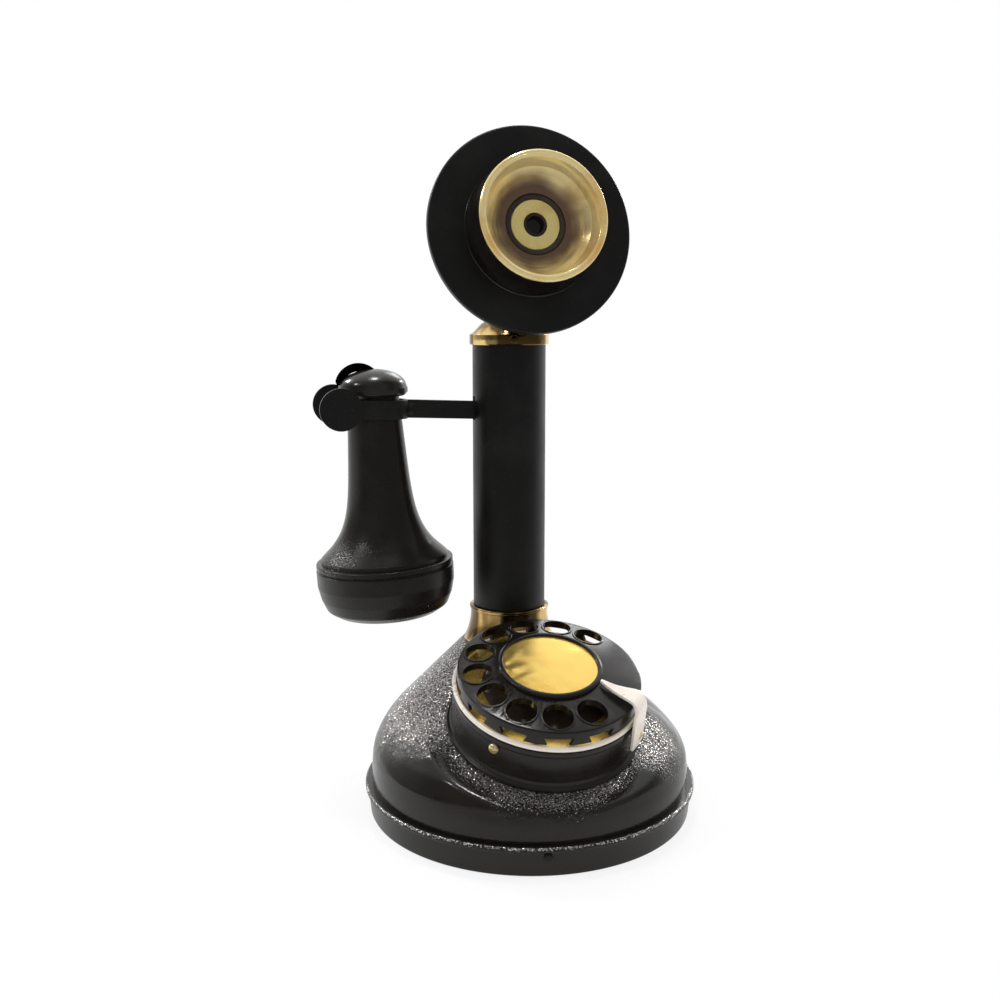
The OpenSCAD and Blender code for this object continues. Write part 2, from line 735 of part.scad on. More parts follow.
module rear_case() {
    rim_r = face_r - 5;
    depth = 23;
    color(black_satin) on_face() translate([0, 0, -face_t]) difference() {
        rotate_extrude() polygon(concat([[0, -depth], [0, 0], [rim_r, 0], [rim_r, -2]],
            [for (i = [1:8]) let (a = 90 * i / 8)
                [12 + (rim_r - 12) * cos(a), -2 - (depth - 2) * sin(a)]]));
        translate([0, 0, shell_t * 0.8]) rotate_extrude() polygon(concat([[0, -depth], [0, 5],
            [rim_r - 2.5, 5], [rim_r - 2.5, -3]],
            [for (i = [1:7]) let (a = 90 * i / 7)
                [10 + (rim_r - 12.5) * cos(a), -3 - (depth - 3) * sin(a)]]));
        translate([0, lug_drop(), -depth - 20]) cylinder(r = 2.6, h = 30, $fn = 32);
    }
}

// Place of the pivot on the transmitter, up the face and out of it
function lug_drop() = face_out * sin(face_tilt) - (face_z - pivot_z) * cos(face_tilt);
function lug_back() = face_out * cos(face_tilt) + (face_z - pivot_z) * sin(face_tilt);

module rear_case_screws() {
    color(steel) on_face() for (a = [30, 150, 270]) rotate(a)
        translate([face_r - 2.9, 0, -face_t - 0.02]) mirror([0, 0, 1]) screw(1.8, 1.2, 1, 0.01);
}

module tilt_lug() {
    eye_r = clevis_r - 0.6;
    width = 2 * ear_x - 0.6;
    color(black_satin) difference() {
        union() {
            translate([0, col_y, pivot_z]) rotate([0, 90, 0])
                cylinder(r = eye_r, h = width, center = true);
            on_face() translate([-width / 2, lug_drop() - 4.6, -lug_back()])
                cube([width, 9.2, lug_back() - face_t - 17]);
            on_face() translate([0, lug_drop(), -face_t - 17.2]) cylinder(r = 2.5, h = 6, $fn = 32);
        }
        translate([0, col_y, pivot_z]) rotate([0, 90, 0])
            cylinder(r = bolt_r + run_gap, h = 40, center = true);
        on_face() translate([0, 0, -face_t]) rotate_extrude() polygon(concat(
            [[0, -23.1], [0, 0], [face_r - 4.9, 0], [face_r - 4.9, -2]],
            [for (i = [1:8]) let (a = 90 * i / 8)
                [12 + (face_r - 16.9) * cos(a), -2 - 21.1 * sin(a)]]));
    }
}

module mouthpiece_shell() {
    color(black_satin) on_face() rotate_extrude() polygon([
        [mouth_r - 2, 0], [mouth_root_r + 0.8, 0], [mouth_root_r + 0.2, 0.6],
        [mouth_root_r, 2.2], [mouth_root_r - 0.2, mouth_l * 0.35],
        [mouth_r + 0.3, mouth_l * 0.7], [mouth_r - 0.2, mouth_l - 1.8],
        [mouth_r - 1.8, mouth_l - 1.8], [mouth_r - 2, mouth_l * 0.6]]);
}

module mouthpiece_liner() {
    rim_z = mouth_l - 1.7;
    floor_z = 6;
    inner = [[mouth_r - 0.3, rim_z + 0.5], [mouth_r - 0.9, rim_z + 1.4],
        [mouth_r - 2.2, rim_z + 1.6], [mouth_r - 3.4, rim_z + 0.5], [mouth_r - 3.8, rim_z - 2],
        [mouth_r - 5.2, rim_z - 5.2], [mouth_r - 6.6, rim_z - 6], [mouth_r - 7.6, rim_z - 8.6],
        [mouth_r - 9.4, floor_z + 3], [mouth_r - 11.2, floor_z + 1.4], [13.6, floor_z + 1.2]];
    outer = [[13.6, floor_z], [mouth_r - 10.6, floor_z], [mouth_r - 8, floor_z + 2.6],
        [mouth_r - 6.2, rim_z - 8.8], [mouth_r - 5, rim_z - 7.2], [mouth_r - 3.9, rim_z - 6.4],
        [mouth_r - 2.6, rim_z - 2.4], [mouth_r - 2.4, rim_z], [mouth_r, rim_z]];
    color(brass) on_face() rotate_extrude() polygon(concat(inner, outer));
}

module microphone_ring() {
    color([0.30, 0.29, 0.28]) on_face() rotate_extrude() polygon([[11.2, 5.5], [13.4, 5.5],
        [13.4, 6.8], [12.8, 7.3], [11.8, 7.3], [11.2, 6.8]]);
}

module microphone_washer() {
    color(gold) on_face() tube(11, 5.3, 1.2, 5.5);
}

module microphone_capsule() {
    color(black_satin) on_face() {
        disc(mic_r, 10, -face_t - 11);
        disc(mic_front_r, 5.6 + face_t + 1.1 - 0.2, -face_t - 1.1);
    }
}

// ---- Switch hook ----

module hook_lever() {
    color(black_satin) on_hook() difference() {
        union() {
            translate([-root_x + 0.05, -arm_t / 2, -hook_h / 2])
                cube([root_x - 0.05 + hinge_x, arm_t, hook_h]);
            translate([hinge_x, 0, 0]) rotate([90, 0, 0])
                cylinder(r = hook_h / 2, h = arm_t, center = true);
        }
        translate([hinge_x, 0, 0]) rotate([90, 0, 0])
            cylinder(r = hook_pin_r + run_gap, h = 20, center = true, $fn = 48);
        translate([-root_x - 5, 0, -10]) cube([8, arm_t, 20]);
        rivet_holes();
    }
}

module rivet_holes() {
    for (z = [-2.2, 2.2]) translate([-root_x + 1.2, 0, z]) rotate([90, 0, 0])
        cylinder(r = 0.8, h = 20, center = true, $fn = 24);
}

module hook_fork() {
    mid_r = prong_gap + prong_t / 2;
    color(black_satin) on_hook() difference() {
        union() {
            translate([-hook_x, 0, -hook_h / 2]) linear_extrude(height = hook_h) {
                difference() {
                    circle(r = prong_gap + prong_t);
                    circle(r = prong_gap);
                    translate([-50, -50]) square([50, 100]);
                }
                for (side = [-1, 1]) scale([1, side]) polygon([
                    [0, prong_gap], [0, prong_gap + prong_t], [-7, prong_gap + prong_t],
                    [-12, prong_gap + prong_t + splay], [-paddle_x, prong_gap + prong_t + splay],
                    [-paddle_x, prong_gap + splay], [-11.6, prong_gap + splay],
                    [-6.6, prong_gap]]);
            }
            for (side = [-1, 1]) translate([-hook_x - paddle_x,
                side * (mid_r + splay), 0]) rotate([90, 0, 0])
                    cylinder(r = paddle_r, h = prong_t, center = true);
            translate([-root_x - 0.2, 0.02, -hook_h / 2]) cube([3.2, arm_t / 2 - 0.04, hook_h]);
        }
        rivet_holes();
    }
}

module hook_rivets() {
    color(steel) on_hook() for (z = [-2.2, 2.2]) translate([-root_x + 1.2, 0, z])
        rotate([90, 0, 0]) {
            cylinder(r = 0.75, h = arm_t + 0.2, center = true, $fn = 24);
            for (side = [-1, 1]) translate([0, 0, side * (arm_t / 2 + 0.35)])
                cylinder(r = 1.3, h = 0.6, center = true, $fn = 24);
        }
}

// ---- Receiver ----

// Radius of the receiver's body at a share t of its length, from the lip to the flange
function body_r(t) = let (u = min(1, t / 0.97))
    neck_r + (skirt_r - neck_r) * (0.26 * u + 0.74 * pow(u, 7));

module receiver_shell() {
    steps = 14;
    wall = 2.6;
    bore_r = 7;
    color(black_gloss) on_receiver() rotate_extrude() polygon(concat(
        [[neck_r - 2.4, 6], [neck_r - 2.4, 0.3], [neck_r, 0.3]],
        [for (i = [0:steps]) let (t = i / steps) [body_r(t), -0.2 - (body_l - 3.2) * t]],
        [[ear_r - 0.4, -body_l + 2.8], [ear_r, -body_l + 2.4], [ear_r, -body_l],
            [ear_r - 4, -body_l]],
        [for (i = [steps:-1:4]) let (t = i / steps)
            [max(bore_r, body_r(t) - wall - 1), -2 - (body_l - 3) * t]],
        [[bore_r, -20], [bore_r, 6]]));
}

// Path of the cord sleeve over the top cap
sleeve_r = 2;
sleeve_bend = 9.2;
module sleeve_path(r) {
    translate([-6.4, 0, cap_h - sleeve_bend + 1.2]) rotate([90, 0, 0])
        rotate(48) rotate_extrude(angle = 112, $fn = 64)
            translate([sleeve_bend, 0]) circle(r = r, $fn = 24);
}

module receiver_top_cap() {
    color(black_gloss) on_receiver() difference() {
        rotate_extrude() polygon(concat(
            [[0, 0.35], [neck_r + 0.3, 0.35], [neck_r + 0.8, 0], [cap_r - 1.6, 0]],
            arc(cap_r - 2, 3.2, 2, -60, 20, 5),
            [for (i = [1:8]) let (a = 90 * i / 8)
                [(cap_r - 0.6) * cos(a), 4.4 + (cap_h - 4.4) * sin(a)]]));
        disc(neck_r - 2.3, 5.8, 0.2);
        disc(2, 20, 1);
        sleeve_path(sleeve_r + 0.04);
    }
}

module cord_sleeve() {
    color(black_satin) on_receiver() sleeve_path(sleeve_r);
}

module ear_cap() {
    z0 = -body_l - 0.05;
    foot = ear_h - 1;
    color(black_gloss) on_receiver() difference() {
        rotate_extrude() polygon(concat(
            [[0, z0 - ear_h + 3], [0, z0], [ear_r, z0], [ear_r + 0.2, z0 - 1],
                [ear_r, z0 - ear_h * 0.35], [ear_r - 1.4, z0 - ear_h * 0.62]],
            arc(ear_r - 9.5, z0 - ear_h + 7.5, 7.5, 5, -90, 8),
            [[ear_r - 14, z0 - ear_h], [8, z0 - ear_h + 3]]));
        disc(ear_r - 3, ear_h - 6, z0 - ear_h + 7.5);
        disc(3.2, 20, z0 - ear_h - 5);
    }
}

module receiver_diaphragm() {
    color(steel) on_receiver() disc(ear_r - 3.4, 0.5, -body_l - ear_h + 7.6);
}

module receiver_capsule() {
    top_z = -body_l - 1;
    low_z = -body_l - ear_h + 8.6;
    color(black_satin) on_receiver() {
        disc(ear_r - 4, top_z - low_z, low_z);
        disc(ear_r - 12, 4, top_z - 0.1);
    }
}

felt_pad();
base_plate();
base_ring();
base_ring_screws();
base_shell();
ballast_weight();
circuit_board();
ringer_capsule();
cord_grommets();
column_tube();
column_clamp();
column_collar();
column_head();
head_screw();
tilt_bolt();
switch_bracket();
hook_pin();
hook_contacts();
dial_cup();
dial_cup_screw();
trim_ring();
number_plate();
spring_cover();
finger_stop();
stop_screw();
dial_frame();
governor_cup();
return_spring();
pulse_contacts();
finger_wheel();
hub_ring();
centre_disc();
hub_screw();
dial_shaft();
main_gear();
governor_spindle();
governor_weights();
face_plate();
rear_case();
rear_case_screws();
tilt_lug();
mouthpiece_shell();
mouthpiece_liner();
microphone_ring();
microphone_washer();
microphone_capsule();
hook_lever();
hook_fork();
hook_rivets();
receiver_shell();
receiver_top_cap();
cord_sleeve();
ear_cap();
receiver_capsule();
receiver_diaphragm();
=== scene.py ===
"""Dresses the candlestick telephone: its enamelled base, dial, column, transmitter and receiver."""

import logging
import math
from dataclasses import dataclass, field
from enum import Enum
from typing import Callable, Iterable, Optional, Sequence

import bmesh
import bpy
from mathutils import Matrix, Vector, noise


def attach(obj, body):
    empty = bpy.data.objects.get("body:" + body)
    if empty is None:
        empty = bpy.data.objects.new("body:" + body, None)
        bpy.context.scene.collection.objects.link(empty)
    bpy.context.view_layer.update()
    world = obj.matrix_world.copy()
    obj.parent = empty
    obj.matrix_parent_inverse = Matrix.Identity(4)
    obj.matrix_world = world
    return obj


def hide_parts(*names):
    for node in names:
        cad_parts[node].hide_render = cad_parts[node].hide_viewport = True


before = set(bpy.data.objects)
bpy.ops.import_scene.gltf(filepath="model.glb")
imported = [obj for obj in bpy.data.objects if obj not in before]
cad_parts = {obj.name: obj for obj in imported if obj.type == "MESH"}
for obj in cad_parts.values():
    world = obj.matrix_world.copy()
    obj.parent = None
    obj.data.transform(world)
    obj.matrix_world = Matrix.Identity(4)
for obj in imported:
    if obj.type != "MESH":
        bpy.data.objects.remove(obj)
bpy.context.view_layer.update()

logging.basicConfig(level=logging.INFO, format="%(levelname)s %(message)s")
LOG = logging.getLogger("telephone")

MM = 0.001
COLUMN_Y = 37.5
ROUND = 192
HINGE_X, HOOK_X, HOOK_Z = 6.0, 66.5, 184.1
HOOK_SLOPE, LEAN = 2.2, 3.0
LIP_H = 4.6 + math.sqrt(16.5 ** 2 - 14.3 ** 2) * math.sin(math.radians(HOOK_SLOPE + LEAN))

# Painted glint grains per crinkle fold, relief left outside the glint spots, depth of polishing
# lines
GLINT_GRAINS_PER_FOLD = 1.5
CALM = 0.05
LINE_DEPTH = 0.00001
DUST = (0.42, 0.40, 0.37)
AIM = (0.0, 0.0, 0.14)
NEAR_ZERO, DOUBLE, CAD_DOUBLE = 1e-6, 1e-5, 2e-6

Profile = list[tuple[float, float]]
Corner = tuple[float, float, float]
Colour = tuple[float, float, float]
Socket = bpy.types.NodeSocket
Node = bpy.types.Node
Tree = bpy.types.NodeTree
Mesh = bmesh.types.BMesh
Thing = bpy.types.Object


class Body(Enum):
    """The rigid bodies that pieces ride on."""

    STAND = "stand"
    WHEEL = "dial_wheel"
    TRANSMITTER = "transmitter"
    HOOK = "switch_hook"
    RECEIVER = "receiver"


def turning(angle: float, axis: str = "Z") -> Matrix:
    """Gives a turn about an axis, from degrees."""
    return Matrix.Rotation(math.radians(angle), 4, axis)


def shift(x: float, y: float, z: float) -> Matrix:
    """Gives a move along the three axes."""
    return Matrix.Translation((x, y, z))


class Place(Enum):
    """Where a sub-assembly's own axes lie in the row frame, in millimetres."""

    BASE = Matrix.Identity(4)
    COLUMN = shift(0, COLUMN_Y, 0)
    DIAL = shift(0, -32, 74) @ turning(19.5, "X")
    FACE = shift(0, COLUMN_Y - 38.3, 267.3) @ turning(79, "X")
    RECEIVER = (shift(HINGE_X, COLUMN_Y, HOOK_Z) @ turning(HOOK_SLOPE, "Y")
                @ shift(-HINGE_X - HOOK_X, 0, LIP_H) @ turning(-HOOK_SLOPE - LEAN, "Y"))


# ---- Shader building -------------------------------------------------------------------


class Wiring:
    """Adds and links the nodes of one shader tree."""

    def __init__(self, tree: Tree) -> None:
        """Keeps the tree that it wires."""
        self.tree = tree

    def add(self, kind: str, **settings: object) -> Node:
        """Adds a node.

        Args:
            kind: the node's type name.
            settings: attributes of the node, set by name.

        Returns:
            The new node.
        """
        node = self.tree.nodes.new(kind)
        for name, value in settings.items():
            setattr(node, name, value)
        return node

    def link(self, source: Socket, target: Socket) -> None:
        """Links one socket to another."""
        self.tree.links.new(source, target)

    def feed(self, value: object, target: Socket) -> None:
        """Links a socket to an input, or writes a number or a colour into it."""
        if isinstance(value, bpy.types.NodeSocket):
            self.link(value, target)
        else:
            target.default_value = value

    def existing(self, kind: str) -> Node:
        """Finds the tree's own node of a type."""
        return next(n for n in self.tree.nodes if n.type == kind)

    def math(self, operation: str, first: object, second: object = 0.0) -> Socket:
        """Adds a Math node.

        Args:
            operation: the node's operation.
            first: a socket or a number.
            second: a socket or a number.

        Returns:
            The node's result socket.
        """
        node = self.add("ShaderNodeMath", operation=operation)
        self.feed(first, node.inputs[0])
        self.feed(second, node.inputs[1])
        return node.outputs[0]

    def spread(self, value: Socket, low: object, high: object, to_low: object = 0.0,
               to_high: object = 1.0) -> Socket:
        """Maps a value smoothly from one range to another; each end is a socket or a number.

        Args:
            value: the socket to map.
            low: the value that becomes to_low.
            high: the value that becomes to_high.
            to_low: the result at low.
            to_high: the result at high.

        Returns:
            The mapped value's socket.
        """
        node = self.add("ShaderNodeMapRange", interpolation_type="SMOOTHSTEP")
        for name, given in (("Value", value), ("From Min", low), ("From Max", high),
                            ("To Min", to_low), ("To Max", to_high)):
            self.feed(given, node.inputs[name])
        return node.outputs["Result"]

    def noise(self, vector: Socket, scale: object, detail: float = 2.0,
              rough: float = 0.5) -> Socket:
        """Adds a noise texture and returns its value."""
        node = self.add("ShaderNodeTexNoise")
        for name, given in (("Vector", vector), ("Scale", scale), ("Detail", detail),
                            ("Roughness", rough)):
            self.feed(given, node.inputs[name])
        return node.outputs[0]

    def tint(self, factor: Socket, base: object, colour: Colour) -> Socket:
        """Lays a colour over a base, which is a colour or a socket, where the factor is 1."""
        node = self.add("ShaderNodeMix", data_type="RGBA")
        self.link(factor, node.inputs["Factor"])
        self.feed(base, node.inputs[6])
        self.feed((*colour, 1), node.inputs[7])
        return node.outputs[2]

    def use(self, tree: Tree, vector: Socket, **values: object) -> Node:
        """Adds a group that is fed with a vector and with numbers or sockets.

        Args:
            tree: the group's tree.
            vector: what its Vector input takes.
            values: its other inputs, by name.

        Returns:
            The group's node.
        """
        node = self.add("ShaderNodeGroup", node_tree=tree)
        self.link(vector, node.inputs["Vector"])
        for name, value in values.items():
            self.feed(value, node.inputs[name])
        return node


class Pattern:
    """The shader groups that several finishes share, each built once."""

    built: dict[str, Tree] = {}

    @classmethod
    def group(cls, name: str, inputs: dict[str, float], outputs: Sequence[str],
              fill: Callable[[Wiring, Node, Node], None]) -> Tree:
        """Gives the named group, building it the first time.

        Args:
            name: the group's name.
            inputs: default of each float input that follows Vector.
            outputs: names of the float outputs.
            fill: wires the inside between the input and output nodes.

        Returns:
            The group's node tree.
        """
        if name in cls.built:
            return cls.built[name]
        tree = bpy.data.node_groups.new(name, "ShaderNodeTree")
        tree.interface.new_socket("Vector", in_out="INPUT", socket_type="NodeSocketVector")
        for label, default in inputs.items():
            tree.interface.new_socket(label, in_out="INPUT", socket_type="NodeSocketFloat"
                                      ).default_value = default
        for label in outputs:
            tree.interface.new_socket(label, in_out="OUTPUT", socket_type="NodeSocketFloat")
        wiring = Wiring(tree)
        fill(wiring, wiring.add("NodeGroupInput"), wiring.add("NodeGroupOutput"))
        cls.built[name] = tree
        return tree

    @classmethod
    def crinkle(cls) -> Tree:
        """Wrinkled relief of sprayed crinkle enamel: Vector and Scale to Height."""

        def fill(w: Wiring, start: Node, end: Node) -> None:
            """Adds small grains and the folds between them."""
            vector, scale = start.outputs["Vector"], start.outputs["Scale"]
            grains = w.add("ShaderNodeTexVoronoi", feature="SMOOTH_F1")
            grains.inputs["Smoothness"].default_value = 0.35
            w.link(vector, grains.inputs["Vector"])
            w.link(scale, grains.inputs["Scale"])
            fold = w.noise(vector, w.math("MULTIPLY", scale, 0.9), 1.0, 0.5)
            ridge = w.math("ABSOLUTE", w.math("SUBTRACT", fold, 0.5))
            mound = w.math("MULTIPLY", grains.outputs["Distance"], -0.8)
            w.link(w.math("SUBTRACT", mound, w.math("MULTIPLY", ridge, 1.1)), end.inputs["Height"])

        return cls.group("crinkle_relief", {"Scale": 900}, ["Height"], fill)

    @classmethod
    def painted_sparkle(cls) -> Tree:
        """Painted glints on crinkled enamel, bright grains that stand in for highlights: Vector,
        Scale and Strength to Mask.
        """

        def fill(w: Wiring, start: Node, end: Node) -> None:
            """Paints more of the grains bright, as glints, the stronger the crinkle is."""
            grain = w.noise(start.outputs["Vector"], start.outputs["Scale"], 2.0, 0.6)
            strength = start.outputs["Strength"]
            lift = w.math("MULTIPLY", w.math("SUBTRACT", strength, 1.0), 0.16)
            painted_glint = w.spread(w.math("ADD", grain, lift), 0.49, 0.60)
            w.link(w.math("MULTIPLY", painted_glint, w.math("POWER", strength, 0.5)), end.inputs["Mask"])

        return cls.group("painted_glint_grains", {"Scale": 1300, "Strength": 1}, ["Mask"], fill)

    @classmethod
    def nearness(cls) -> Tree:
        """How near a point is to a centre: Vector, X, Y, Z, Near and Far to Mask."""

        def fill(w: Wiring, start: Node, end: Node) -> None:
            """Measures the distance, roughened a little so that the edge wanders."""
            centre = w.add("ShaderNodeCombineXYZ")
            for axis in "XYZ":
                w.link(start.outputs[axis], centre.inputs[axis])
            gap = w.add("ShaderNodeVectorMath", operation="DISTANCE")
            w.link(start.outputs["Vector"], gap.inputs[0])
            w.link(centre.outputs[0], gap.inputs[1])
            reach = w.math("SUBTRACT", start.outputs["Far"], start.outputs["Near"])
            wander = w.math("SUBTRACT", w.noise(start.outputs["Vector"], 60.0, 2.0, 0.5), 0.5)
            stray = w.math("MULTIPLY", wander, reach)
            w.link(w.spread(w.math("ADD", gap.outputs["Value"], stray), start.outputs["Near"],
                            start.outputs["Far"], 1.0, 0.0), end.inputs["Mask"])

        return cls.group("near_a_point", {"X": 0, "Y": 0, "Z": 0, "Near": 0.04, "Far": 0.06},
                         ["Mask"], fill)

    @classmethod
    def handling(cls) -> Tree:
        """Smudges and dust of use: Vector, Scale, Gloss, Dull to Roughness, Mask and Dust."""

        def fill(w: Wiring, start: Node, end: Node) -> None:
            """Mixes broad smudges with small specks."""
            vector, scale = start.outputs["Vector"], start.outputs["Scale"]
            broad = w.noise(vector, scale, 4.0, 0.6)
            w.link(w.spread(broad, 0.35, 0.7, start.outputs["Gloss"], start.outputs["Dull"]),
                   end.inputs["Roughness"])
            w.link(w.spread(broad, 0.42, 0.66), end.inputs["Mask"])
            specks = w.noise(vector, w.math("MULTIPLY", scale, 46.0), 1.0, 0.4)
            w.link(w.spread(specks, 0.70, 0.78), end.inputs["Dust"])

        return cls.group("handling_marks", {"Scale": 30, "Gloss": 0.2, "Dull": 0.35},
                         ["Roughness", "Mask", "Dust"], fill)

    @classmethod
    def polish_and_painted_streaks(cls) -> Tree:
        """Turning or brushing lines, and broader painted dark reflection streaks: Vector, already
        stretched, to Height and the streak mask.
        """

        def fill(w: Wiring, start: Node, end: Node) -> None:
            """Adds fine lines, and broader streaks where dark reflections are painted."""
            vector = start.outputs["Vector"]
            w.link(w.noise(vector, 1.0, 5.0, 0.7), end.inputs["Height"])
            w.link(w.spread(w.noise(vector, 0.22, 3.0, 0.5), 0.46, 0.60), end.inputs["Dark_reflection"])

        return cls.group("polish_lines_and_painted_streaks", {}, ["Height", "Dark_reflection"], fill)


@dataclass(frozen=True)
class Finish:
    """A surface: its colours, gloss and relief, made into a material once."""

    name: str
    slot: str
    colour: Colour
    second: Colour
    gloss: float = 0.25
    dull: float = 0.4
    metallic: float = 0.0
    specular: float = 0.5
    smudge: float = 34.0
    crinkle_scale: float = 0.0
    crinkle_depth: float = 0.0
    fine_scale: float = 700.0
    fine_depth: float = 0.00002
    lines: Optional[tuple[float, float, float]] = None
    dark_reflection: Optional[Colour] = None
    dust: float = 0.0
    glint_spots: tuple[tuple[float, ...], ...] = ()
    shaded: Optional[tuple[float, ...]] = None
    shade: Colour = (0.05, 0.03, 0.02)
    glint: Colour = (0.15, 0.14, 0.13)

    def material(self) -> bpy.types.Material:
        """Gives the finish's material, building it the first time."""
        return bpy.data.materials.get(self.name) or self._build()

    def _build(self) -> bpy.types.Material:
        """Builds the material.

        Returns:
            A node material with relief, colour variation, painted shade, painted dark reflection
            streaks and painted glints, and varied gloss.
        """
        material = bpy.data.materials.new(self.name)
        material.use_nodes = True
        w = Wiring(material.node_tree)
        shader = w.existing("BSDF_PRINCIPLED")
        place = w.add("ShaderNodeTexCoord").outputs["Object"]
        shader.inputs["Metallic"].default_value = self.metallic
        shader.inputs["Specular IOR Level"].default_value = self.specular
        marks = w.use(Pattern.handling(), place, Scale=self.smudge, Gloss=self.gloss,
                      Dull=self.dull)
        w.link(marks.outputs["Roughness"], shader.inputs["Roughness"])
        colour = w.tint(marks.outputs["Mask"], (*self.colour, 1), self.second)
        if self.dust:
            colour = w.tint(w.math("MULTIPLY", marks.outputs["Dust"], self.dust), colour, DUST)
        if self.shaded:
            # painted shade: the colour darkens towards a point, such as the bowl's floor in spun
            # brass
            colour = w.tint(self._near(w, place, self.shaded), colour, self.shade)
        if self.dark_reflection:
            # painted reflection: dark vertical streaks tinted into the brass where it would mirror
            # dark parts of the room
            colour = w.tint(self._polish_and_painted_streaks(w, place).outputs["Dark_reflection"], colour, self.dark_reflection)
        strength = self._glint_zone(w, place)
        if strength is not None:
            # painted highlight: pale metallic grains tinted in where the lamps' glints fall on the
            # crinkle
            painted_glint = w.use(Pattern.painted_sparkle(), place, Scale=self.crinkle_scale * GLINT_GRAINS_PER_FOLD,
                        Strength=strength).outputs["Mask"]
            colour = w.tint(painted_glint, colour, self.glint)
            w.link(painted_glint, shader.inputs["Metallic"])
        w.link(colour, shader.inputs["Base Color"])
        self._relief(w, shader, place, strength)
        return material

    def _glint_zone(self, w: Wiring, place: Socket) -> Optional[Socket]:
        """Gives where the enamel is crinkled and has painted glints: round the finish's glint
        spots.

        Args:
            w: the material's wiring.
            place: the object coordinates.

        Returns:
            The strength's socket, or None for a finish without spots.
        """
        strength: Optional[Socket] = None
        for spot in self.glint_spots:
            mask = self._near(w, place, spot)
            strength = mask if strength is None else w.math("MAXIMUM", strength, mask)
        return strength

    def _polish_and_painted_streaks(self, w: Wiring, place: Socket) -> Node:
        """Adds the polishing lines and the painted dark reflection streaks, stretched as the
        finish's lines say.
        """
        stretch = w.add("ShaderNodeMapping")
        stretch.inputs["Scale"].default_value = self.lines
        w.link(place, stretch.inputs["Vector"])
        return w.use(Pattern.polish_and_painted_streaks(), stretch.outputs[0])

    def _near(self, w: Wiring, place: Socket, spot: Sequence[float]) -> Socket:
        """Gives 1 near a spot and 0 far from it.

        Args:
            w: the material's wiring.
            place: the object coordinates.
            spot: the centre's X, Y and Z, and the near and far distance, in metres.

        Returns:
            The mask's socket.
        """
        values = dict(zip(("X", "Y", "Z", "Near", "Far"), spot))
        return w.use(Pattern.nearness(), place, **values).outputs["Mask"]

    def _relief(self, w: Wiring, shader: Node, place: Socket,
                strength: Optional[Socket]) -> None:
        """Adds the bumps of crinkle, fine grain and polishing lines.

        Args:
            w: the material's wiring.
            shader: the Principled shader.
            place: the object coordinates.
            strength: how strong the crinkle and its painted glints are, where they vary.
        """
        heights: list[tuple[Socket, float]] = []
        if self.crinkle_depth:
            height = w.use(Pattern.crinkle(), place, Scale=self.crinkle_scale).outputs["Height"]
            if strength is not None:
                part = w.math("MAXIMUM", w.math("POWER", strength, 0.6), CALM)
                height = w.math("MULTIPLY", height, part)
            heights.append((height, self.crinkle_depth))
        if self.fine_depth:
            heights.append((w.noise(place, self.fine_scale, 3.0, 0.6), self.fine_depth))
        if self.lines:
            heights.append((self._polish_and_painted_streaks(w, place).outputs["Height"], LINE_DEPTH))
        normal: Optional[Socket] = None
        for height, depth in heights:
            bump = w.add("ShaderNodeBump")
            bump.inputs["Strength"].default_value = 1.0
            bump.inputs["Distance"].default_value = depth
            w.link(height, bump.inputs["Height"])
            if normal is not None:
                w.link(normal, bump.inputs["Normal"])
            normal = bump.outputs["Normal"]
        if normal is not None:
            w.link(normal, shader.inputs["Normal"])


INK: Colour = (0.0078, 0.0063, 0.0050)
SOOT: Colour = (0.0120, 0.0098, 0.0080)

# Its spots of pale glints are painted highlights: on the left flank, in front of the dial and on
# the right.
CRINKLE = Finish("crinkle_enamel", "black_crinkle", INK, SOOT, gloss=0.10, dull=0.17,
                 glint=(0.86, 0.82, 0.78), specular=0.45, crinkle_scale=1000.0,
                 crinkle_depth=0.00060,
                 glint_spots=((-0.004, -0.036, 0.048, 0.0375, 0.0460),
                        (-0.044, 0.008, 0.060, 0.028, 0.048),
                        (0.043, -0.036, 0.040, 0.013, 0.025)))
# Its spot is a thin band round the lip's top edge: a painted highlight line.
RING_ENAMEL = Finish("ring_enamel", "black_enamel", INK, SOOT, gloss=0.16, dull=0.28,
                     specular=0.45, crinkle_scale=900.0, crinkle_depth=0.00022,
                     glint_spots=((0.0, 0.0, -0.05, 0.1006, 0.0998),), glint=(0.90, 0.87, 0.83))
DIAL_ENAMEL = Finish("dial_enamel", "black_enamel", INK, SOOT, gloss=0.17, dull=0.28,
                     specular=0.42, fine_scale=420.0, dust=0.04)
SATIN = Finish("satin_enamel", "black_satin", (0.0050, 0.0044, 0.0040), (0.0085, 0.0075, 0.0068),
               gloss=0.36, dull=0.48, specular=0.32, fine_scale=1500.0,
               dust=0.05)
GLOSSY = Finish("glossy_enamel", "black_satin", (0.0045, 0.0038, 0.0034), SOOT, gloss=0.14,
                dull=0.24, fine_scale=300.0, dust=0.04)
# Its spot of pale glints is a painted highlight round the receiver's flare.
BAKELITE = Finish("grained_bakelite", "black_bakelite", INK, SOOT, gloss=0.22, dull=0.34,
                  specular=0.28, crinkle_scale=1150.0, crinkle_depth=0.00042,
                  glint_spots=((-0.0665, 0.0375, 0.096, 0.026, 0.036),), glint=(0.62, 0.59, 0.56))
CAP_ENAMEL = Finish("cap_enamel", "black_bakelite", INK, SOOT, gloss=0.17, dull=0.27,
                    specular=0.55, fine_scale=170.0, fine_depth=0.00012)
EAR_ENAMEL = Finish("ear_cap_enamel", "black_bakelite", INK, SOOT, gloss=0.26, dull=0.38,
                    specular=0.40, fine_scale=500.0, dust=0.05)
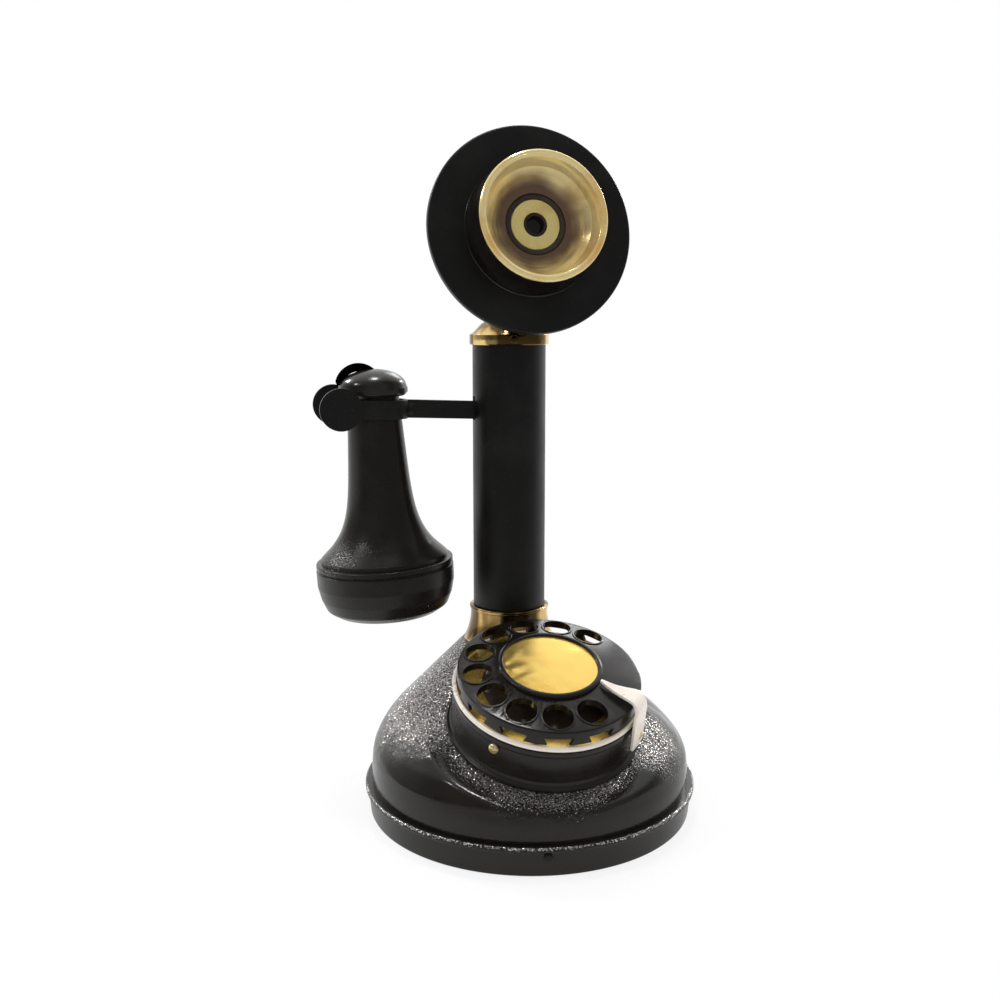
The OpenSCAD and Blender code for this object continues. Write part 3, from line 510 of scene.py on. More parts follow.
# Its dark streak colour paints dark reflections down the collar and the column head.
BRASS = Finish("polished_brass", "brass", (0.84, 0.61, 0.25), (0.66, 0.43, 0.16), gloss=0.10,
               dull=0.20, metallic=1.0, smudge=60.0, fine_scale=110.0, fine_depth=0.0001,
               lines=(330.0, 330.0, 18.0), dark_reflection=(0.13, 0.08, 0.03))
PALE_BRASS = Finish("pale_brass", "brass", (0.86, 0.72, 0.42), (0.70, 0.54, 0.26), gloss=0.22,
                    dull=0.34, metallic=0.8, smudge=90.0)
# Its shade near the bowl's floor is painted shade.
SPUN_BRASS = Finish("spun_brass", "brass", (1.0, 0.82, 0.40), (0.84, 0.55, 0.20), gloss=0.12,
                    dull=0.22, metallic=0.55, smudge=45.0, fine_scale=160.0, fine_depth=0.00003,
                    shaded=(0.0, -0.0067, 0.2684, 0.0155, 0.0265), shade=(0.17, 0.105, 0.068))
FOIL = Finish("gold_foil", "gold_plate", (0.98, 0.68, 0.18), (0.93, 0.60, 0.13), gloss=0.20,
              dull=0.30, metallic=0.85, smudge=50.0, fine_scale=120.0, fine_depth=0.00004)
WASHER = Finish("pale_gold_sheet", "gold_plate", (0.72, 0.60, 0.24), (0.62, 0.50, 0.18),
                gloss=0.48, dull=0.60, metallic=0.35, smudge=90.0)
TRIM = Finish("pale_trim", "bright_trim", (0.92, 0.85, 0.76), (0.86, 0.78, 0.68), gloss=0.26,
              dull=0.38, metallic=0.3, smudge=70.0, fine_scale=260.0)
STUD = Finish("stud_steel", "dark_steel", (0.30, 0.25, 0.19), (0.20, 0.16, 0.12), gloss=0.22,
              dull=0.36, metallic=0.7)
STEEL = Finish("plated_steel", "zinc_steel", (0.56, 0.57, 0.58), (0.44, 0.45, 0.46), gloss=0.28,
               dull=0.45, metallic=1.0, lines=(1600.0, 60.0, 60.0))
DARK_STEEL = Finish("blackened_steel", "dark_steel", (0.012, 0.011, 0.010), (0.03, 0.027, 0.025),
                    gloss=0.3, dull=0.45, metallic=0.5)
GREY_RING = Finish("dark_ring_paint", "grey_ring", (0.020, 0.016, 0.013), (0.040, 0.032, 0.026),
                   gloss=0.28, dull=0.42)
MOULDED = Finish("moulded_black", "black_plastic", (0.012, 0.010, 0.008), (0.02, 0.017, 0.014),
                 gloss=0.42, dull=0.6)
COVER = Finish("brown_cover", "black_plastic", (0.030, 0.020, 0.013), (0.06, 0.043, 0.03),
               gloss=0.30, dull=0.45)
RUBBER = Finish("soft_rubber", "rubber", (0.010, 0.0095, 0.009), (0.018, 0.017, 0.016),
                gloss=0.45, dull=0.65, specular=0.35)
FELT = Finish("felt_pile", "green_felt", (0.06, 0.13, 0.08), (0.09, 0.17, 0.11), gloss=0.9,
              dull=1.0, specular=0.1, fine_scale=2200.0, fine_depth=0.0002)
CAST = Finish("cast_zinc", "cast_weight", (0.22, 0.22, 0.23), (0.30, 0.29, 0.28), gloss=0.55,
              dull=0.75, metallic=0.8, fine_scale=500.0, fine_depth=0.00015)
BOARD = Finish("circuit_laminate", "board", (0.06, 0.22, 0.10), (0.08, 0.27, 0.13), gloss=0.4,
               dull=0.55)
CONTACT = Finish("contact_brass", "contact_strip", (0.62, 0.42, 0.20), (0.5, 0.34, 0.18),
                 gloss=0.3, dull=0.45, metallic=0.6)


# ---- Mesh building ---------------------------------------------------------------------


def rounded(corners: Sequence[Corner], steps: int = 5) -> Profile:
    """Rounds the corners of a closed outline.

    Args:
        corners: radius, height and rounding of each corner, in order.
        steps: pieces of each rounding.

    Returns:
        The points of the rounded outline.
    """
    points: Profile = []
    total = len(corners)
    for i, (x, y, r) in enumerate(corners):
        here = Vector((x, y))
        back = Vector(corners[i - 1][:2]) - here
        ahead = Vector(corners[(i + 1) % total][:2]) - here
        if r <= 0 or back.length < NEAR_ZERO or ahead.length < NEAR_ZERO:
            points.append((x, y))
            continue
        half = back.angle(ahead) / 2
        reach = min(r / max(math.tan(half), 1e-3), back.length * 0.49, ahead.length * 0.49)
        start, end = here + back.normalized() * reach, here + ahead.normalized() * reach
        for k in range(steps + 1):
            t = k / steps
            p = start.lerp(here, t).lerp(here.lerp(end, t), t)
            points.append((p.x, p.y))
    return points


def spin_profile(outline: Profile, closed: bool = True, steps: int = ROUND) -> Mesh:
    """Turns an outline about its own Z axis.

    Args:
        outline: radius and height of each point, in millimetres.
        closed: whether the last point joins the first.
        steps: faces round the axis.

    Returns:
        A closed mesh.
    """
    bm = bmesh.new()
    verts = [bm.verts.new((x, 0, z)) for x, z in outline]
    ends = len(verts) if closed else len(verts) - 1
    edges = [bm.edges.new((verts[i], verts[(i + 1) % len(verts)])) for i in range(ends)
             if (verts[i].co - verts[(i + 1) % len(verts)].co).length > 1e-7]
    bmesh.ops.spin(bm, geom=verts + edges, cent=(0, 0, 0), axis=(0, 0, 1), angle=2 * math.pi,
                   steps=steps, use_merge=True, use_duplicate=False)
    bmesh.ops.remove_doubles(bm, verts=bm.verts, dist=DOUBLE)
    bmesh.ops.dissolve_degenerate(bm, dist=NEAR_ZERO, edges=bm.edges)
    bmesh.ops.recalc_face_normals(bm, faces=bm.faces)
    return bm


def wrapped(circles: Iterable[Corner]) -> Mesh:
    """Wraps a skin round level circles.

    Args:
        circles: radius, and Y and Z of the middle, of each circle.

    Returns:
        The closed convex skin.
    """
    bm = bmesh.new()
    for radius, y, z in circles:
        bmesh.ops.create_circle(bm, cap_ends=False, radius=radius, segments=144,
                                matrix=shift(0, y, z))
    hull = bmesh.ops.convex_hull(bm, input=bm.verts)
    loose = [v for v in hull["geom_interior"] if isinstance(v, bmesh.types.BMVert)]
    bmesh.ops.delete(bm, geom=loose, context="VERTS")
    bmesh.ops.recalc_face_normals(bm, faces=bm.faces)
    return bm


def block(size: Sequence[float], centre: Sequence[float]) -> Mesh:
    """Makes a box from its lengths along X, Y and Z and its middle."""
    bm = bmesh.new()
    bmesh.ops.create_cube(bm, size=1.0)
    bmesh.ops.scale(bm, vec=size, verts=bm.verts)
    bmesh.ops.translate(bm, vec=centre, verts=bm.verts)
    return bm


def rod(radius: float, length: float, steps: int = 64) -> Mesh:
    """Makes a cylinder from Z 0 up."""
    bm = bmesh.new()
    bmesh.ops.create_cone(bm, cap_ends=True, segments=steps, radius1=radius, radius2=radius,
                          depth=length)
    bmesh.ops.translate(bm, vec=(0, 0, length / 2), verts=bm.verts)
    return bm


def moved(bm: Mesh, place: Matrix) -> Mesh:
    """Moves a mesh by a matrix and gives it back."""
    bmesh.ops.transform(bm, matrix=place, verts=bm.verts)
    return bm


def joined(parts: Iterable[Mesh]) -> Mesh:
    """Puts several meshes into one and frees them."""
    whole = bmesh.new()
    for part in parts:
        mesh = bpy.data.meshes.new("part")
        part.to_mesh(mesh)
        part.free()
        whole.from_mesh(mesh)
        bpy.data.meshes.remove(mesh)
    return whole


def on_side(angle: float, radius: float, height: float) -> Matrix:
    """Gives the place of a radial screw: its Z axis points outwards at that angle."""
    return turning(angle) @ shift(radius, 0, height) @ turning(90, "Y")


def arc(middle: tuple[float, float], size: tuple[float, float],
        angles: Iterable[float]) -> list[Corner]:
    """Gives unrounded corners along an elliptic arc.

    Args:
        middle: the ellipse's middle.
        size: its two half axes.
        angles: the angle of each corner, in degrees.

    Returns:
        The corners.
    """
    return [(middle[0] + size[0] * math.cos(a), middle[1] + size[1] * math.sin(a), 0.0)
            for a in map(math.radians, angles)]


def added(name: str, data: bpy.types.ID) -> Thing:
    """Makes an object of a mesh, lamp or camera and puts it in the scene."""
    thing = bpy.data.objects.new(name, data)
    bpy.context.scene.collection.objects.link(thing)
    return thing


def poured(bm: Mesh, name: str) -> Thing:
    """Makes an object of the scene from a mesh that it frees."""
    mesh = bpy.data.meshes.new(name)
    bm.to_mesh(mesh)
    bm.free()
    return added(name, mesh)


@dataclass
class Shop:
    """Makes meshes into finished pieces and keeps count of them."""

    made: list[str] = field(default_factory=list)

    def object(self, bm: Mesh, name: str, place: Place) -> Thing:
        """Makes a mesh an object in the row frame, in metres.

        Args:
            bm: the mesh, in millimetres and in its sub-assembly's own axes. It is freed.
            name: the object's name.
            place: the sub-assembly's place.

        Returns:
            The object, with its place in its mesh.
        """
        bmesh.ops.transform(bm, matrix=Matrix.Scale(MM, 4) @ place.value, verts=bm.verts)
        return poured(bm, name)

    def drill(self, radius: float, length: float, z: float, place: Place,
              steps: int = 64) -> Thing:
        """Makes a cylinder that cuts, upwards from a height in its sub-assembly's axes."""
        return self.object(moved(rod(radius, length, steps), shift(0, 0, z)), "drill", place)

    def settle(self, thing: Thing) -> None:
        """Applies an object's modifiers to its mesh."""
        graph = bpy.context.evaluated_depsgraph_get()
        mesh = bpy.data.meshes.new_from_object(thing.evaluated_get(graph))
        thing.modifiers.clear()
        thing.data = mesh

    def combine(self, thing: Thing, tools: Sequence[Thing],
                operation: str = "DIFFERENCE") -> None:
        """Cuts objects from another, or adds them to it, and removes them.

        Args:
            thing: the object that changes.
            tools: the objects that are used up.
            operation: DIFFERENCE, UNION or INTERSECT.
        """
        for tool in tools:
            cut = thing.modifiers.new("cut", "BOOLEAN")
            cut.operation, cut.solver, cut.object = operation, "EXACT", tool
        self.settle(thing)
        for tool in tools:
            bpy.data.objects.remove(tool)

    def copy_of(self, node: str) -> Thing:
        """Copies a CAD node with its doubles merged, in the row frame."""
        bm = bmesh.new()
        bm.from_mesh(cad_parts[node].data)
        bmesh.ops.remove_doubles(bm, verts=bm.verts, dist=CAD_DOUBLE)
        bmesh.ops.dissolve_limit(bm, angle_limit=math.radians(0.6), verts=bm.verts, edges=bm.edges)
        return poured(bm, node + "_dressed")

    def finish(self, thing: Thing, body: Body, surface: Finish,
               stands_for: Sequence[str] = (), smooth: float = 32.0,
               bevel: float = 0.0) -> Thing:
        """Gives a piece its material, shading, body and the nodes that it replaces.

        Args:
            thing: the piece, in place.
            body: the body that it rides on.
            surface: its finish.
            stands_for: the CAD nodes that it replaces.
            smooth: edges flatter than this angle are shaded smooth, in degrees.
            bevel: the rounding of its sharp edges, in millimetres.

        Returns:
            The piece.
        """
        if bevel:
            edge = thing.modifiers.new("edge", "BEVEL")
            edge.width, edge.segments, edge.limit_method = bevel * MM, 3, "ANGLE"
            edge.angle_limit, edge.miter_outer = math.radians(smooth), "MITER_ARC"
            self.settle(thing)
        thing.data.materials.clear()
        thing.data.materials.append(surface.material())
        for face in thing.data.polygons:
            face.use_smooth = True
        thing.data.set_sharp_from_angle(angle=math.radians(smooth))
        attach(thing, body.value)
        if stands_for:
            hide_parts(*stands_for)
        self.made.append(thing.name)
        LOG.info("%s: %d faces", thing.name, len(thing.data.polygons))
        return thing

    def piece(self, bm: Mesh, name: str, place: Place, body: Body, surface: Finish,
              stands_for: Sequence[str] = (), **looks: float) -> Thing:
        """Makes a mesh an object and finishes it; looks are finish's smooth and bevel."""
        return self.finish(self.object(bm, name, place), body, surface, stands_for, **looks)

    def turned(self, name: str, corners: Sequence[Corner], place: Place, body: Body,
               surface: Finish, stands_for: Sequence[str] = (), steps: int = ROUND,
               closed: bool = True) -> Thing:
        """Makes a turned piece from the rounded outline of its section."""
        return self.piece(spin_profile(rounded(corners), closed, steps), name, place, body,
                          surface, stands_for)

    def dress_node(self, node: str, surface: Finish) -> None:
        """Gives a CAD node that stays in sight or inside its finish."""
        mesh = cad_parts[node].data
        mesh.materials.clear()
        mesh.materials.append(surface.material())


SHANK_SHARE, SHANK_Z, SLOT_SHARE, SLOT_Z = 0.55, -1.2, 0.14, 0.35


def dome_screw(head: float, height: float, slot: bool = False) -> Mesh:
    """Makes a domed screw head from Z 0 up, with a short shank under it.

    Args:
        head: the head's radius.
        height: the head's height.
        slot: whether it has a driver's slot.

    Returns:
        The screw.
    """
    shank = head * SHANK_SHARE
    curve = [(0.0, SHANK_Z), (shank, SHANK_Z), (shank, 0.0), (head, 0.0)]
    curve += [(head * math.cos(a), height * (0.3 + 0.7 * math.sin(a)))
              for a in (math.radians(12 * k) for k in range(0, 8))]
    bm = spin_profile(curve + [(0.0, height)], closed=False, steps=40)
    if slot:
        for side in (1, -1):
            bmesh.ops.bisect_plane(bm, geom=bm.verts[:] + bm.edges[:] + bm.faces[:],
                                   plane_co=(side * head * SLOT_SHARE, 0, 0), plane_no=(1, 0, 0))
        for v in bm.verts:
            if abs(v.co.x) < head * (SLOT_SHARE + 0.001) and v.co.z > height * SLOT_Z:
                v.co.z = height * SLOT_Z
    return bm


# ---- Base ------------------------------------------------------------------------------


@dataclass
class Base:
    """The stepped base: lower ring, crinkled casing, felt and the pieces inside it."""

    ring_r: float = 75.8
    ring_h: float = 14.2
    lip: float = 1.98
    inner_r: float = 71.4
    wall_r: float = 74.5
    shoulder: float = 28.0
    neck_z: float = 70.5
    neck_r: float = 23.2
    wall: float = 3.0
    seat_h: float = -30.0
    pocket_r: float = 44.3
    column_hole: float = 17.9
    cup_hole: float = 37.8
    cord_z: float = 21
    cord_angles: tuple[float, float] = (78, 102)
    voxel: float = 0.9
    softness: float = 0.5
    soft_rounds: int = 14
    cone: tuple[Corner, ...] = ((-18, 0, 0), (-6, 0, 0), (0, 0.5, 0.5), (4, 1.8, 2.5),
                                (8, 4.6, 5.5), (12, 8.2, 9), (16.5, 13.5, 13))
    dome: tuple[Corner, ...] = ((-18, 1.6, -1.5), (-6, 1.6, -1.5), (1, 2.2, -1.5), (7, 5.2, -1.5),
                                (13, 11.5, -1.5), (18.7, 20, -3))

    def _stack(self, levels: Sequence[Corner], inset: float, top: bool) -> Mesh:
        """Wraps a stack of circles in a skin.

        Args:
            levels: height above the shoulder, set-in of the radius, distance moved back.
            inset: how far the skin lies inside the outer one.
            top: whether the pedestal's top circle belongs to it.

        Returns:
            The closed skin.
        """
        circles = [(self.wall_r - r - inset, y, self.shoulder + z - inset * 0.8)
                   for z, r, y in levels]
        if top:
            circles.append((self.neck_r - inset, COLUMN_Y, self.neck_z - inset))
        return wrapped(circles)

    def _seat(self, grow: float) -> Mesh:
        """Makes the space over the dial's seat, grown by a distance."""
        circles: list[Corner] = []
        for step, z in ((0, self.seat_h - grow), (1, self.seat_h + 34)):
            r = self.pocket_r + grow + 11.1 * step
            circles += [(r, -14 * step, z), (r + 4.7, -8 - 14 * step, z), (r + 47.1, -80, z)]
        return wrapped(circles)

    def _skin(self, shop: Shop, name: str, inset: float) -> Thing:
        """Joins the casing's two convex skins and cuts the dial's seat from them.

        Args:
            shop: makes the objects.
            name: the object's name.
            inset: how far the skins lie inside the outer ones.

        Returns:
            The closed solid.
        """
        skin = shop.object(self._stack(self.cone, inset, True), name, Place.BASE)
        dome = shop.object(self._stack(self.dome, inset, False), "dome", Place.BASE)
        seat = shop.object(self._seat(inset), "seat", Place.DIAL)
        shop.combine(skin, [dome], "UNION")
        shop.combine(skin, [seat])
        return skin

    def casing(self, shop: Shop) -> None:
        """Makes the casing: joined and cut, its edges softened as thick enamel softens them."""
        shell = self._skin(shop, "base_casing", 0)
        remesh = shell.modifiers.new("skin", "REMESH")
        remesh.mode, remesh.voxel_size = "VOXEL", self.voxel * MM
        soft = shell.modifiers.new("soft", "SMOOTH")
        soft.factor, soft.iterations = self.softness, self.soft_rounds
        shop.settle(shell)
        inner = self._skin(shop, "inner", self.wall)
        shop.combine(shell, [
            shop.drill(90, 30, self.ring_h + 0.05 - 30, Place.BASE), inner,
            shop.drill(self.column_hole, 60, 54, Place.COLUMN, 96),
            shop.drill(self.cup_hole, 60, self.seat_h - 24, Place.DIAL, 128),
            shop.drill(self.pocket_r, 20, self.seat_h, Place.DIAL, 128)])
        r, top = self.inner_r - 0.3, self.ring_h + 0.6
        spigot = spin_profile(rounded([(r, top, 0), (r - 3, top, 0), (r - 3, 6.2, 0.3),
                                       (r, 6.2, 0.3)]))
        skin = bmesh.new()
        skin.from_mesh(shell.data)
        whole = joined([skin, moved(spigot, Matrix.Scale(MM, 4))])
        whole.to_mesh(shell.data)
        whole.free()
        shop.finish(shell, Body.STAND, CRINKLE, ["base_shell"], smooth=40)

    def build(self, shop: Shop) -> None:
        """Makes every piece of the base."""
        self.casing(shop)
        r, h, inner = self.ring_r, self.ring_h, self.inner_r
        lip_r = r + self.lip
        shop.turned("lower_ring", [
            (inner, 0.6, 0.3), (r - 0.4, 0.6, 1.2), (r + 0.1, 6, 0), (r + 0.5, h - 2.9, 0.6),
            (lip_r, h - 1.9, 0.6), (lip_r, h, 0.7), (self.wall_r - 0.8, h, 0.1), (inner, h, 0.2)],
            Place.BASE, Body.STAND, RING_ENAMEL, ["base_ring"])
        screws = joined(moved(dome_screw(2.0, 0.9), on_side(a, r + 0.35, 9.4))
                        for a in (-100, 20, 140))
        shop.piece(screws, "ring_screws", Place.BASE, Body.STAND, DARK_STEEL,
                   ["base_ring_screws"])
        shop.turned("felt_foot", [(0, 0, 0), (70.1, 0, 0.4), (70.1, 1.45, 0.3), (0, 1.45, 0)],
                    Place.BASE, Body.STAND, FELT, ["felt_pad"], closed=False)
        self._grommets(shop)

    def _grommets(self, shop: Shop) -> None:
        """Makes the two cord grommets at the back."""
        section = rounded([(2, 7, 0.3), (3.9, 7, 0.2), (3.9, 12.3, 0), (5.4, 12.6, 0.4),
                           (5.2, 14.2, 0.6), (3, 15, 0.4), (2, 15, 0.4)])
        parts = [moved(spin_profile(section, steps=48), on_side(a, self.wall_r - 12, self.cord_z))
                 for a in self.cord_angles]
        shop.piece(joined(parts), "grommets", Place.BASE, Body.STAND, RUBBER, ["cord_grommets"])


# ---- Dial ------------------------------------------------------------------------------


@dataclass
class Dial:
    """The dial: cup, trim, number plate, finger wheel, bare centre disc and finger stop."""

    wheel_r: float = 40.9
    rise: float = 3.1
    hub_r: float = 23.4
    centre_r: float = 21.0
    finger_r: float = 6.6
    lip_r: float = 7.35
    ring_r: float = 32.6
    stud_ring_r: float = 27.4
    first: float = 41.0
    step: float = 27.4
    skirt: float = 6.8
    top: float = 2.6
    window: float = 3.5
    cup_r: float = 42.3
    trim: float = -7.2
    trim_h: float = 2.4
    cup_top: float = -9.8
    cup_foot: float = -30.0
    plate: float = -8.2
    plate_r: float = 40.6
    frame_top: float = -15.8
    stop_angle: float = -41.0
    stop_thick: float = 1.35
    screw_angle: float = -137.0

    def turns(self) -> list[Matrix]:
        """Gives the turn to each finger hole."""
        return [turning(self.first + self.step * i) for i in range(10)]

    def cup(self, shop: Shop) -> None:
        """Makes the cup, its trim ring and its screw."""
        r, foot = self.cup_r, self.cup_foot
        shop.turned("dial_housing", [
            (r - 2.5, self.cup_top, 0.2), (r - 2.5, foot + 0.1, 0.2), (r + 1.7, foot + 0.1, 0.5),
            (r + 1.7, foot + 1.7, 0.8), (r + 0.2, foot + 2.4, 0.6), (r - 0.3, foot + 4, 0.6),
            (r - 0.5, self.cup_top - 3.2, 0.4), (r, self.cup_top - 2.4, 0.5),
            (r, self.cup_top, 0.4)], Place.DIAL, Body.STAND, DIAL_ENAMEL, ["dial_cup"])
        trim, foot = self.trim, self.trim - self.trim_h
        shop.turned("trim_band", [
            (r - 1.5, foot, 0.2), (r - 1.5, trim, 0.3), (r - 0.5, trim, 0.6),
            (r + 0.2, trim - 0.8, 0.7), (r + 0.2, foot + 0.7, 0.7), (r - 0.6, foot, 0.4)],
            Place.DIAL, Body.STAND, TRIM, ["trim_ring"])
        at = on_side(self.screw_angle, r - 0.1, self.cup_top - 5)
        shop.piece(moved(dome_screw(2.3, 2.0, True), at), "housing_screw", Place.DIAL, Body.STAND,
                   PALE_BRASS, ["dial_cup_screw"])

    def plates(self, shop: Shop) -> None:
        """Makes the gold number plate and the dark cover with its ten studs."""
        r, top, low, foot = self.plate_r, self.plate, self.plate - 0.8, self.frame_top
        shop.turned("gold_plate", [
            (r, top, 0.3), (r, self.cup_top, 0.1), (r - 0.8, self.cup_top, 0.1),
            (r - 0.8, low, 0.1), (29.5, low, 0.1), (29.5, top, 0.2)],
            Place.DIAL, Body.STAND, FOIL, ["number_plate"])
        shop.turned("dark_cover", [
            (7, top, 0.2), (7, low, 0), (12.6, low, 0), (12.6, foot, 0), (13.4, foot, 0),
            (13.4, low, 0), (29.3, low, 0), (29.3, top, 0.2)],
            Place.DIAL, Body.STAND, COVER, ["spring_cover"])
        studs = []
        for turn in self.turns():
            stud = spin_profile(rounded([(0, -0.3, 0), (1.5, -0.3, 0), (1.5, 0.3, 0.2),
                                         (1.0, 0.4, 0.1), (0.9, 0.2, 0.1), (0.7, 0.9, 0.4),
                                         (0, 1.0, 0)]), closed=False, steps=24)
            studs.append(moved(stud, turn @ shift(self.stud_ring_r, 0, top)))
        shop.piece(joined(studs), "cover_studs", Place.DIAL, Body.STAND, STUD)

    def wheel(self, shop: Shop) -> None:
        """Makes the finger wheel: a dished disc with lipped holes and windows in its skirt."""
        r, t, foot, hub, rise = self.wheel_r, self.top, -self.skirt, self.hub_r, self.rise
        well_r = self.centre_r - 3
        disc = shop.object(spin_profile(rounded([
            (3.02, foot, 0), (7, foot, 0.3), (7, 1.5 - t, 0.4), (hub - 1, 1.5 - t, 0.2),
            (hub, rise - t, 0.4), (r - 1.6, -t, 0.6), (r - 1.6, foot, 0.2), (r, foot, 0.3),
            (r, 0, 0.9), (hub, rise, 0), (well_r, rise, 0.2), (well_r, 1.5, 0.2),
            (3.02, 1.5, 0)]), steps=240), "finger_disc", Place.DIAL)
        slope = math.atan2(rise, r - hub)
        height = rise * (r - self.ring_r) / (r - hub)
        lips, holes, windows = [], [], []
        for turn in self.turns():
            at = turn @ shift(self.ring_r, 0, height) @ Matrix.Rotation(slope, 4, "Y")
            lip = rounded([(0, -1.2, 0), (self.lip_r, -1.2, 0), (self.lip_r, 0.35, 0.3),
                           (0, 0.35, 0)])
            lips.append(moved(spin_profile(lip, closed=False, steps=72), at))
            holes.append(moved(rod(self.finger_r, 30, 72), turn @ shift(self.ring_r, 0, -20)))
            gap = block((8, 2, 2), (0, 0, 0))
            for v in gap.verts:
                v.co.y = math.copysign(4.6 if v.co.z < 0 else self.finger_r - 0.2, v.co.y)
                v.co.z = foot - 0.2 if v.co.z < 0 else foot + self.window
            windows.append(moved(gap, turn @ shift(r, 0, 0)))
        shop.combine(disc, [shop.object(joined(lips), "lips", Place.DIAL)], "UNION")
        shop.combine(disc, [shop.object(joined(holes), "holes", Place.DIAL),
                            shop.object(joined(windows), "windows", Place.DIAL)])
        shop.finish(disc, Body.WHEEL, DIAL_ENAMEL, ["finger_wheel"], smooth=30, bevel=0.22)

    def centre(self, shop: Shop) -> None:
        """Makes the raised ring and the bare, slightly rippled gold disc inside it."""
        r, hub, z = self.centre_r, self.hub_r, self.rise
        shop.turned("hub_rim", [
            (r + 0.1, z, 0), (hub, z, 0.1), (hub - 0.1, z + 1.4, 0.6), (hub - 1.1, z + 1.9, 0.4),
            (r + 0.3, z + 1.9, 0.2), (r + 0.1, z + 1.5, 0)],
            Place.DIAL, Body.WHEEL, DIAL_ENAMEL, ["hub_ring"])
        edge = [(0.0, 0.0), (r, 0.0), (r, 0.85)]
        rings = [(r * (1 - k / 26), 0.9 + 0.5 * (1 - (1 - k / 26) ** 2)) for k in range(27)]
        bm = spin_profile(edge + rings, closed=False)
        for v in bm.verts:
            reach = v.co.xy.length / r
            if v.co.z > 0.86 and reach < 0.985:
                wave = noise.noise(Vector((v.co.x * 0.11 + 3.1, v.co.y * 0.13, 1.7)))
                left = max(0.0, -v.co.x / r - 0.35) * 1.6
                crease = noise.noise(Vector((v.co.x * 0.10, v.co.y * 0.24 + 5, 4.2)))
                v.co.z += (0.12 * wave + 0.6 * left * crease) * min(1.0, (1 - reach) * 7) + 0.05
        shop.piece(moved(bm, shift(0, 0, z)), "gold_disc", Place.DIAL, Body.WHEEL, FOIL,
                   ["centre_disc"])

    def stop(self, shop: Shop) -> None:
        """Makes the finger stop: a tapering blade over the wheel and a leg down the housing."""
        stations = [  # distance from the axis, height, angles of the blade's two edges
            (23.9, 4.35, -38.8, -41.8), (27.2, 4.2, -39.2, -44.8), (31.0, 3.7, -38.2, -46.4),
            (35.0, 3.2, -36.0, -47.0), (38.6, 2.9, -34.4, -47.2), (40.8, 2.7, -34.2, -47.6),
            (42.6, 2.1, -35.8, -48.8), (43.8, 0.9, -37.4, -50.4), (44.3, -0.8, -38.2, -51.6),
            (44.3, -4, -38.0, -51.8), (44.3, -10, -36.8, -51.0), (44.3, -14, -36.0, -50.2),
            (44.3, -19.3, -35.6, -49.8)]
        bm = bmesh.new()
        rows = []
        for r, h, high, low in stations:
            row = []
            for k in range(9):
                a = math.radians(high + (low - high) * k / 8)
                row.append(bm.verts.new((r * math.cos(a), r * math.sin(a), h)))
            rows.append(row)
        for upper, lower in zip(rows, rows[1:]):
            for k in range(8):
                bm.faces.new((upper[k], upper[k + 1], lower[k + 1], lower[k]))
        bmesh.ops.recalc_face_normals(bm, faces=bm.faces)
        blade = shop.object(bm, "stop_blade", Place.DIAL)
        thick = blade.modifiers.new("thick", "SOLIDIFY")
        thick.thickness, thick.offset = self.stop_thick * MM, 1.0
        shop.settle(blade)
        shop.finish(blade, Body.STAND, TRIM, ["finger_stop"], smooth=40, bevel=0.3)
        at = on_side(self.stop_angle, 44.4, self.cup_top - 5)
        shop.piece(moved(dome_screw(2.4, 1.8, True), at), "stop_fixing", Place.DIAL, Body.STAND,
                   PALE_BRASS, ["stop_screw"])

    def build(self, shop: Shop) -> None:
        """Makes every piece of the dial."""
        self.cup(shop)
        self.plates(shop)
        self.wheel(shop)
        self.centre(shop)
        self.stop(shop)


# ---- Column ----------------------------------------------------------------------------


@dataclass
class Column:
    """The column: collar, tube, brass band and cap with its clevis."""

    radius: float = 17.7
    foot: float = 64.0
    top: float = 219.5
    collar_z: float = 70.5
    collar_h: float = 17.5
    collar_foot: float = 22.6
    band_z: float = 216.1
    head_r: float = 19.2
    cap_screw_angle: float = -98

    def build(self, shop: Shop) -> None:
        """Makes every piece of the column."""
        r, foot_r, z, h = self.radius, self.collar_foot, self.collar_z, self.collar_h
        tube = shop.object(spin_profile(rounded([
            (r - 1.5, self.foot, 0.1), (r, self.foot, 0.3), (r, self.top, 0.3),
            (r - 1.5, self.top, 0.1)])), "column_body", Place.COLUMN)
        slot = shop.object(block((6, 4, 11.6), (-r, 0, HOOK_Z + 1.7)), "slot", Place.COLUMN)
        shop.combine(tube, [slot])
        shop.finish(tube, Body.STAND, SATIN, ["column_tube"])
        flare = [(r + 1.4 + (foot_r - r - 1.7) * (1 - k / 8) ** 2.2, z + 1.0 + (h - 3) * k / 8, 0.0)
                 for k in range(9)]
        shop.turned("brass_collar", [
            (r + 0.1, z, 0.1), (foot_r, z, 0.2), (foot_r + 0.1, z + 0.8, 0.3), *flare,
            (r + 1.9, z + h - 1.6, 0.25), (r + 2.0, z + h - 0.4, 0.4), (r + 1.2, z + h, 0.3),
            (r + 0.1, z + h, 0.1)], Place.COLUMN, Body.STAND, BRASS, ["column_collar"])
        head = shop.copy_of("column_head")
        shop.finish(head, Body.STAND, BRASS, ["column_head"], smooth=28, bevel=0.35)
        at = on_side(self.cap_screw_angle, self.head_r - 0.3, self.band_z + 2.6)
        shop.piece(moved(dome_screw(2.1, 1.1, True), at), "cap_screw", Place.COLUMN, Body.STAND,
                   BRASS, ["head_screw"])
        bolt = shop.copy_of("tilt_bolt")
        shop.finish(bolt, Body.STAND, BRASS, ["tilt_bolt"], bevel=0.3)


# ---- Transmitter -----------------------------------------------------------------------


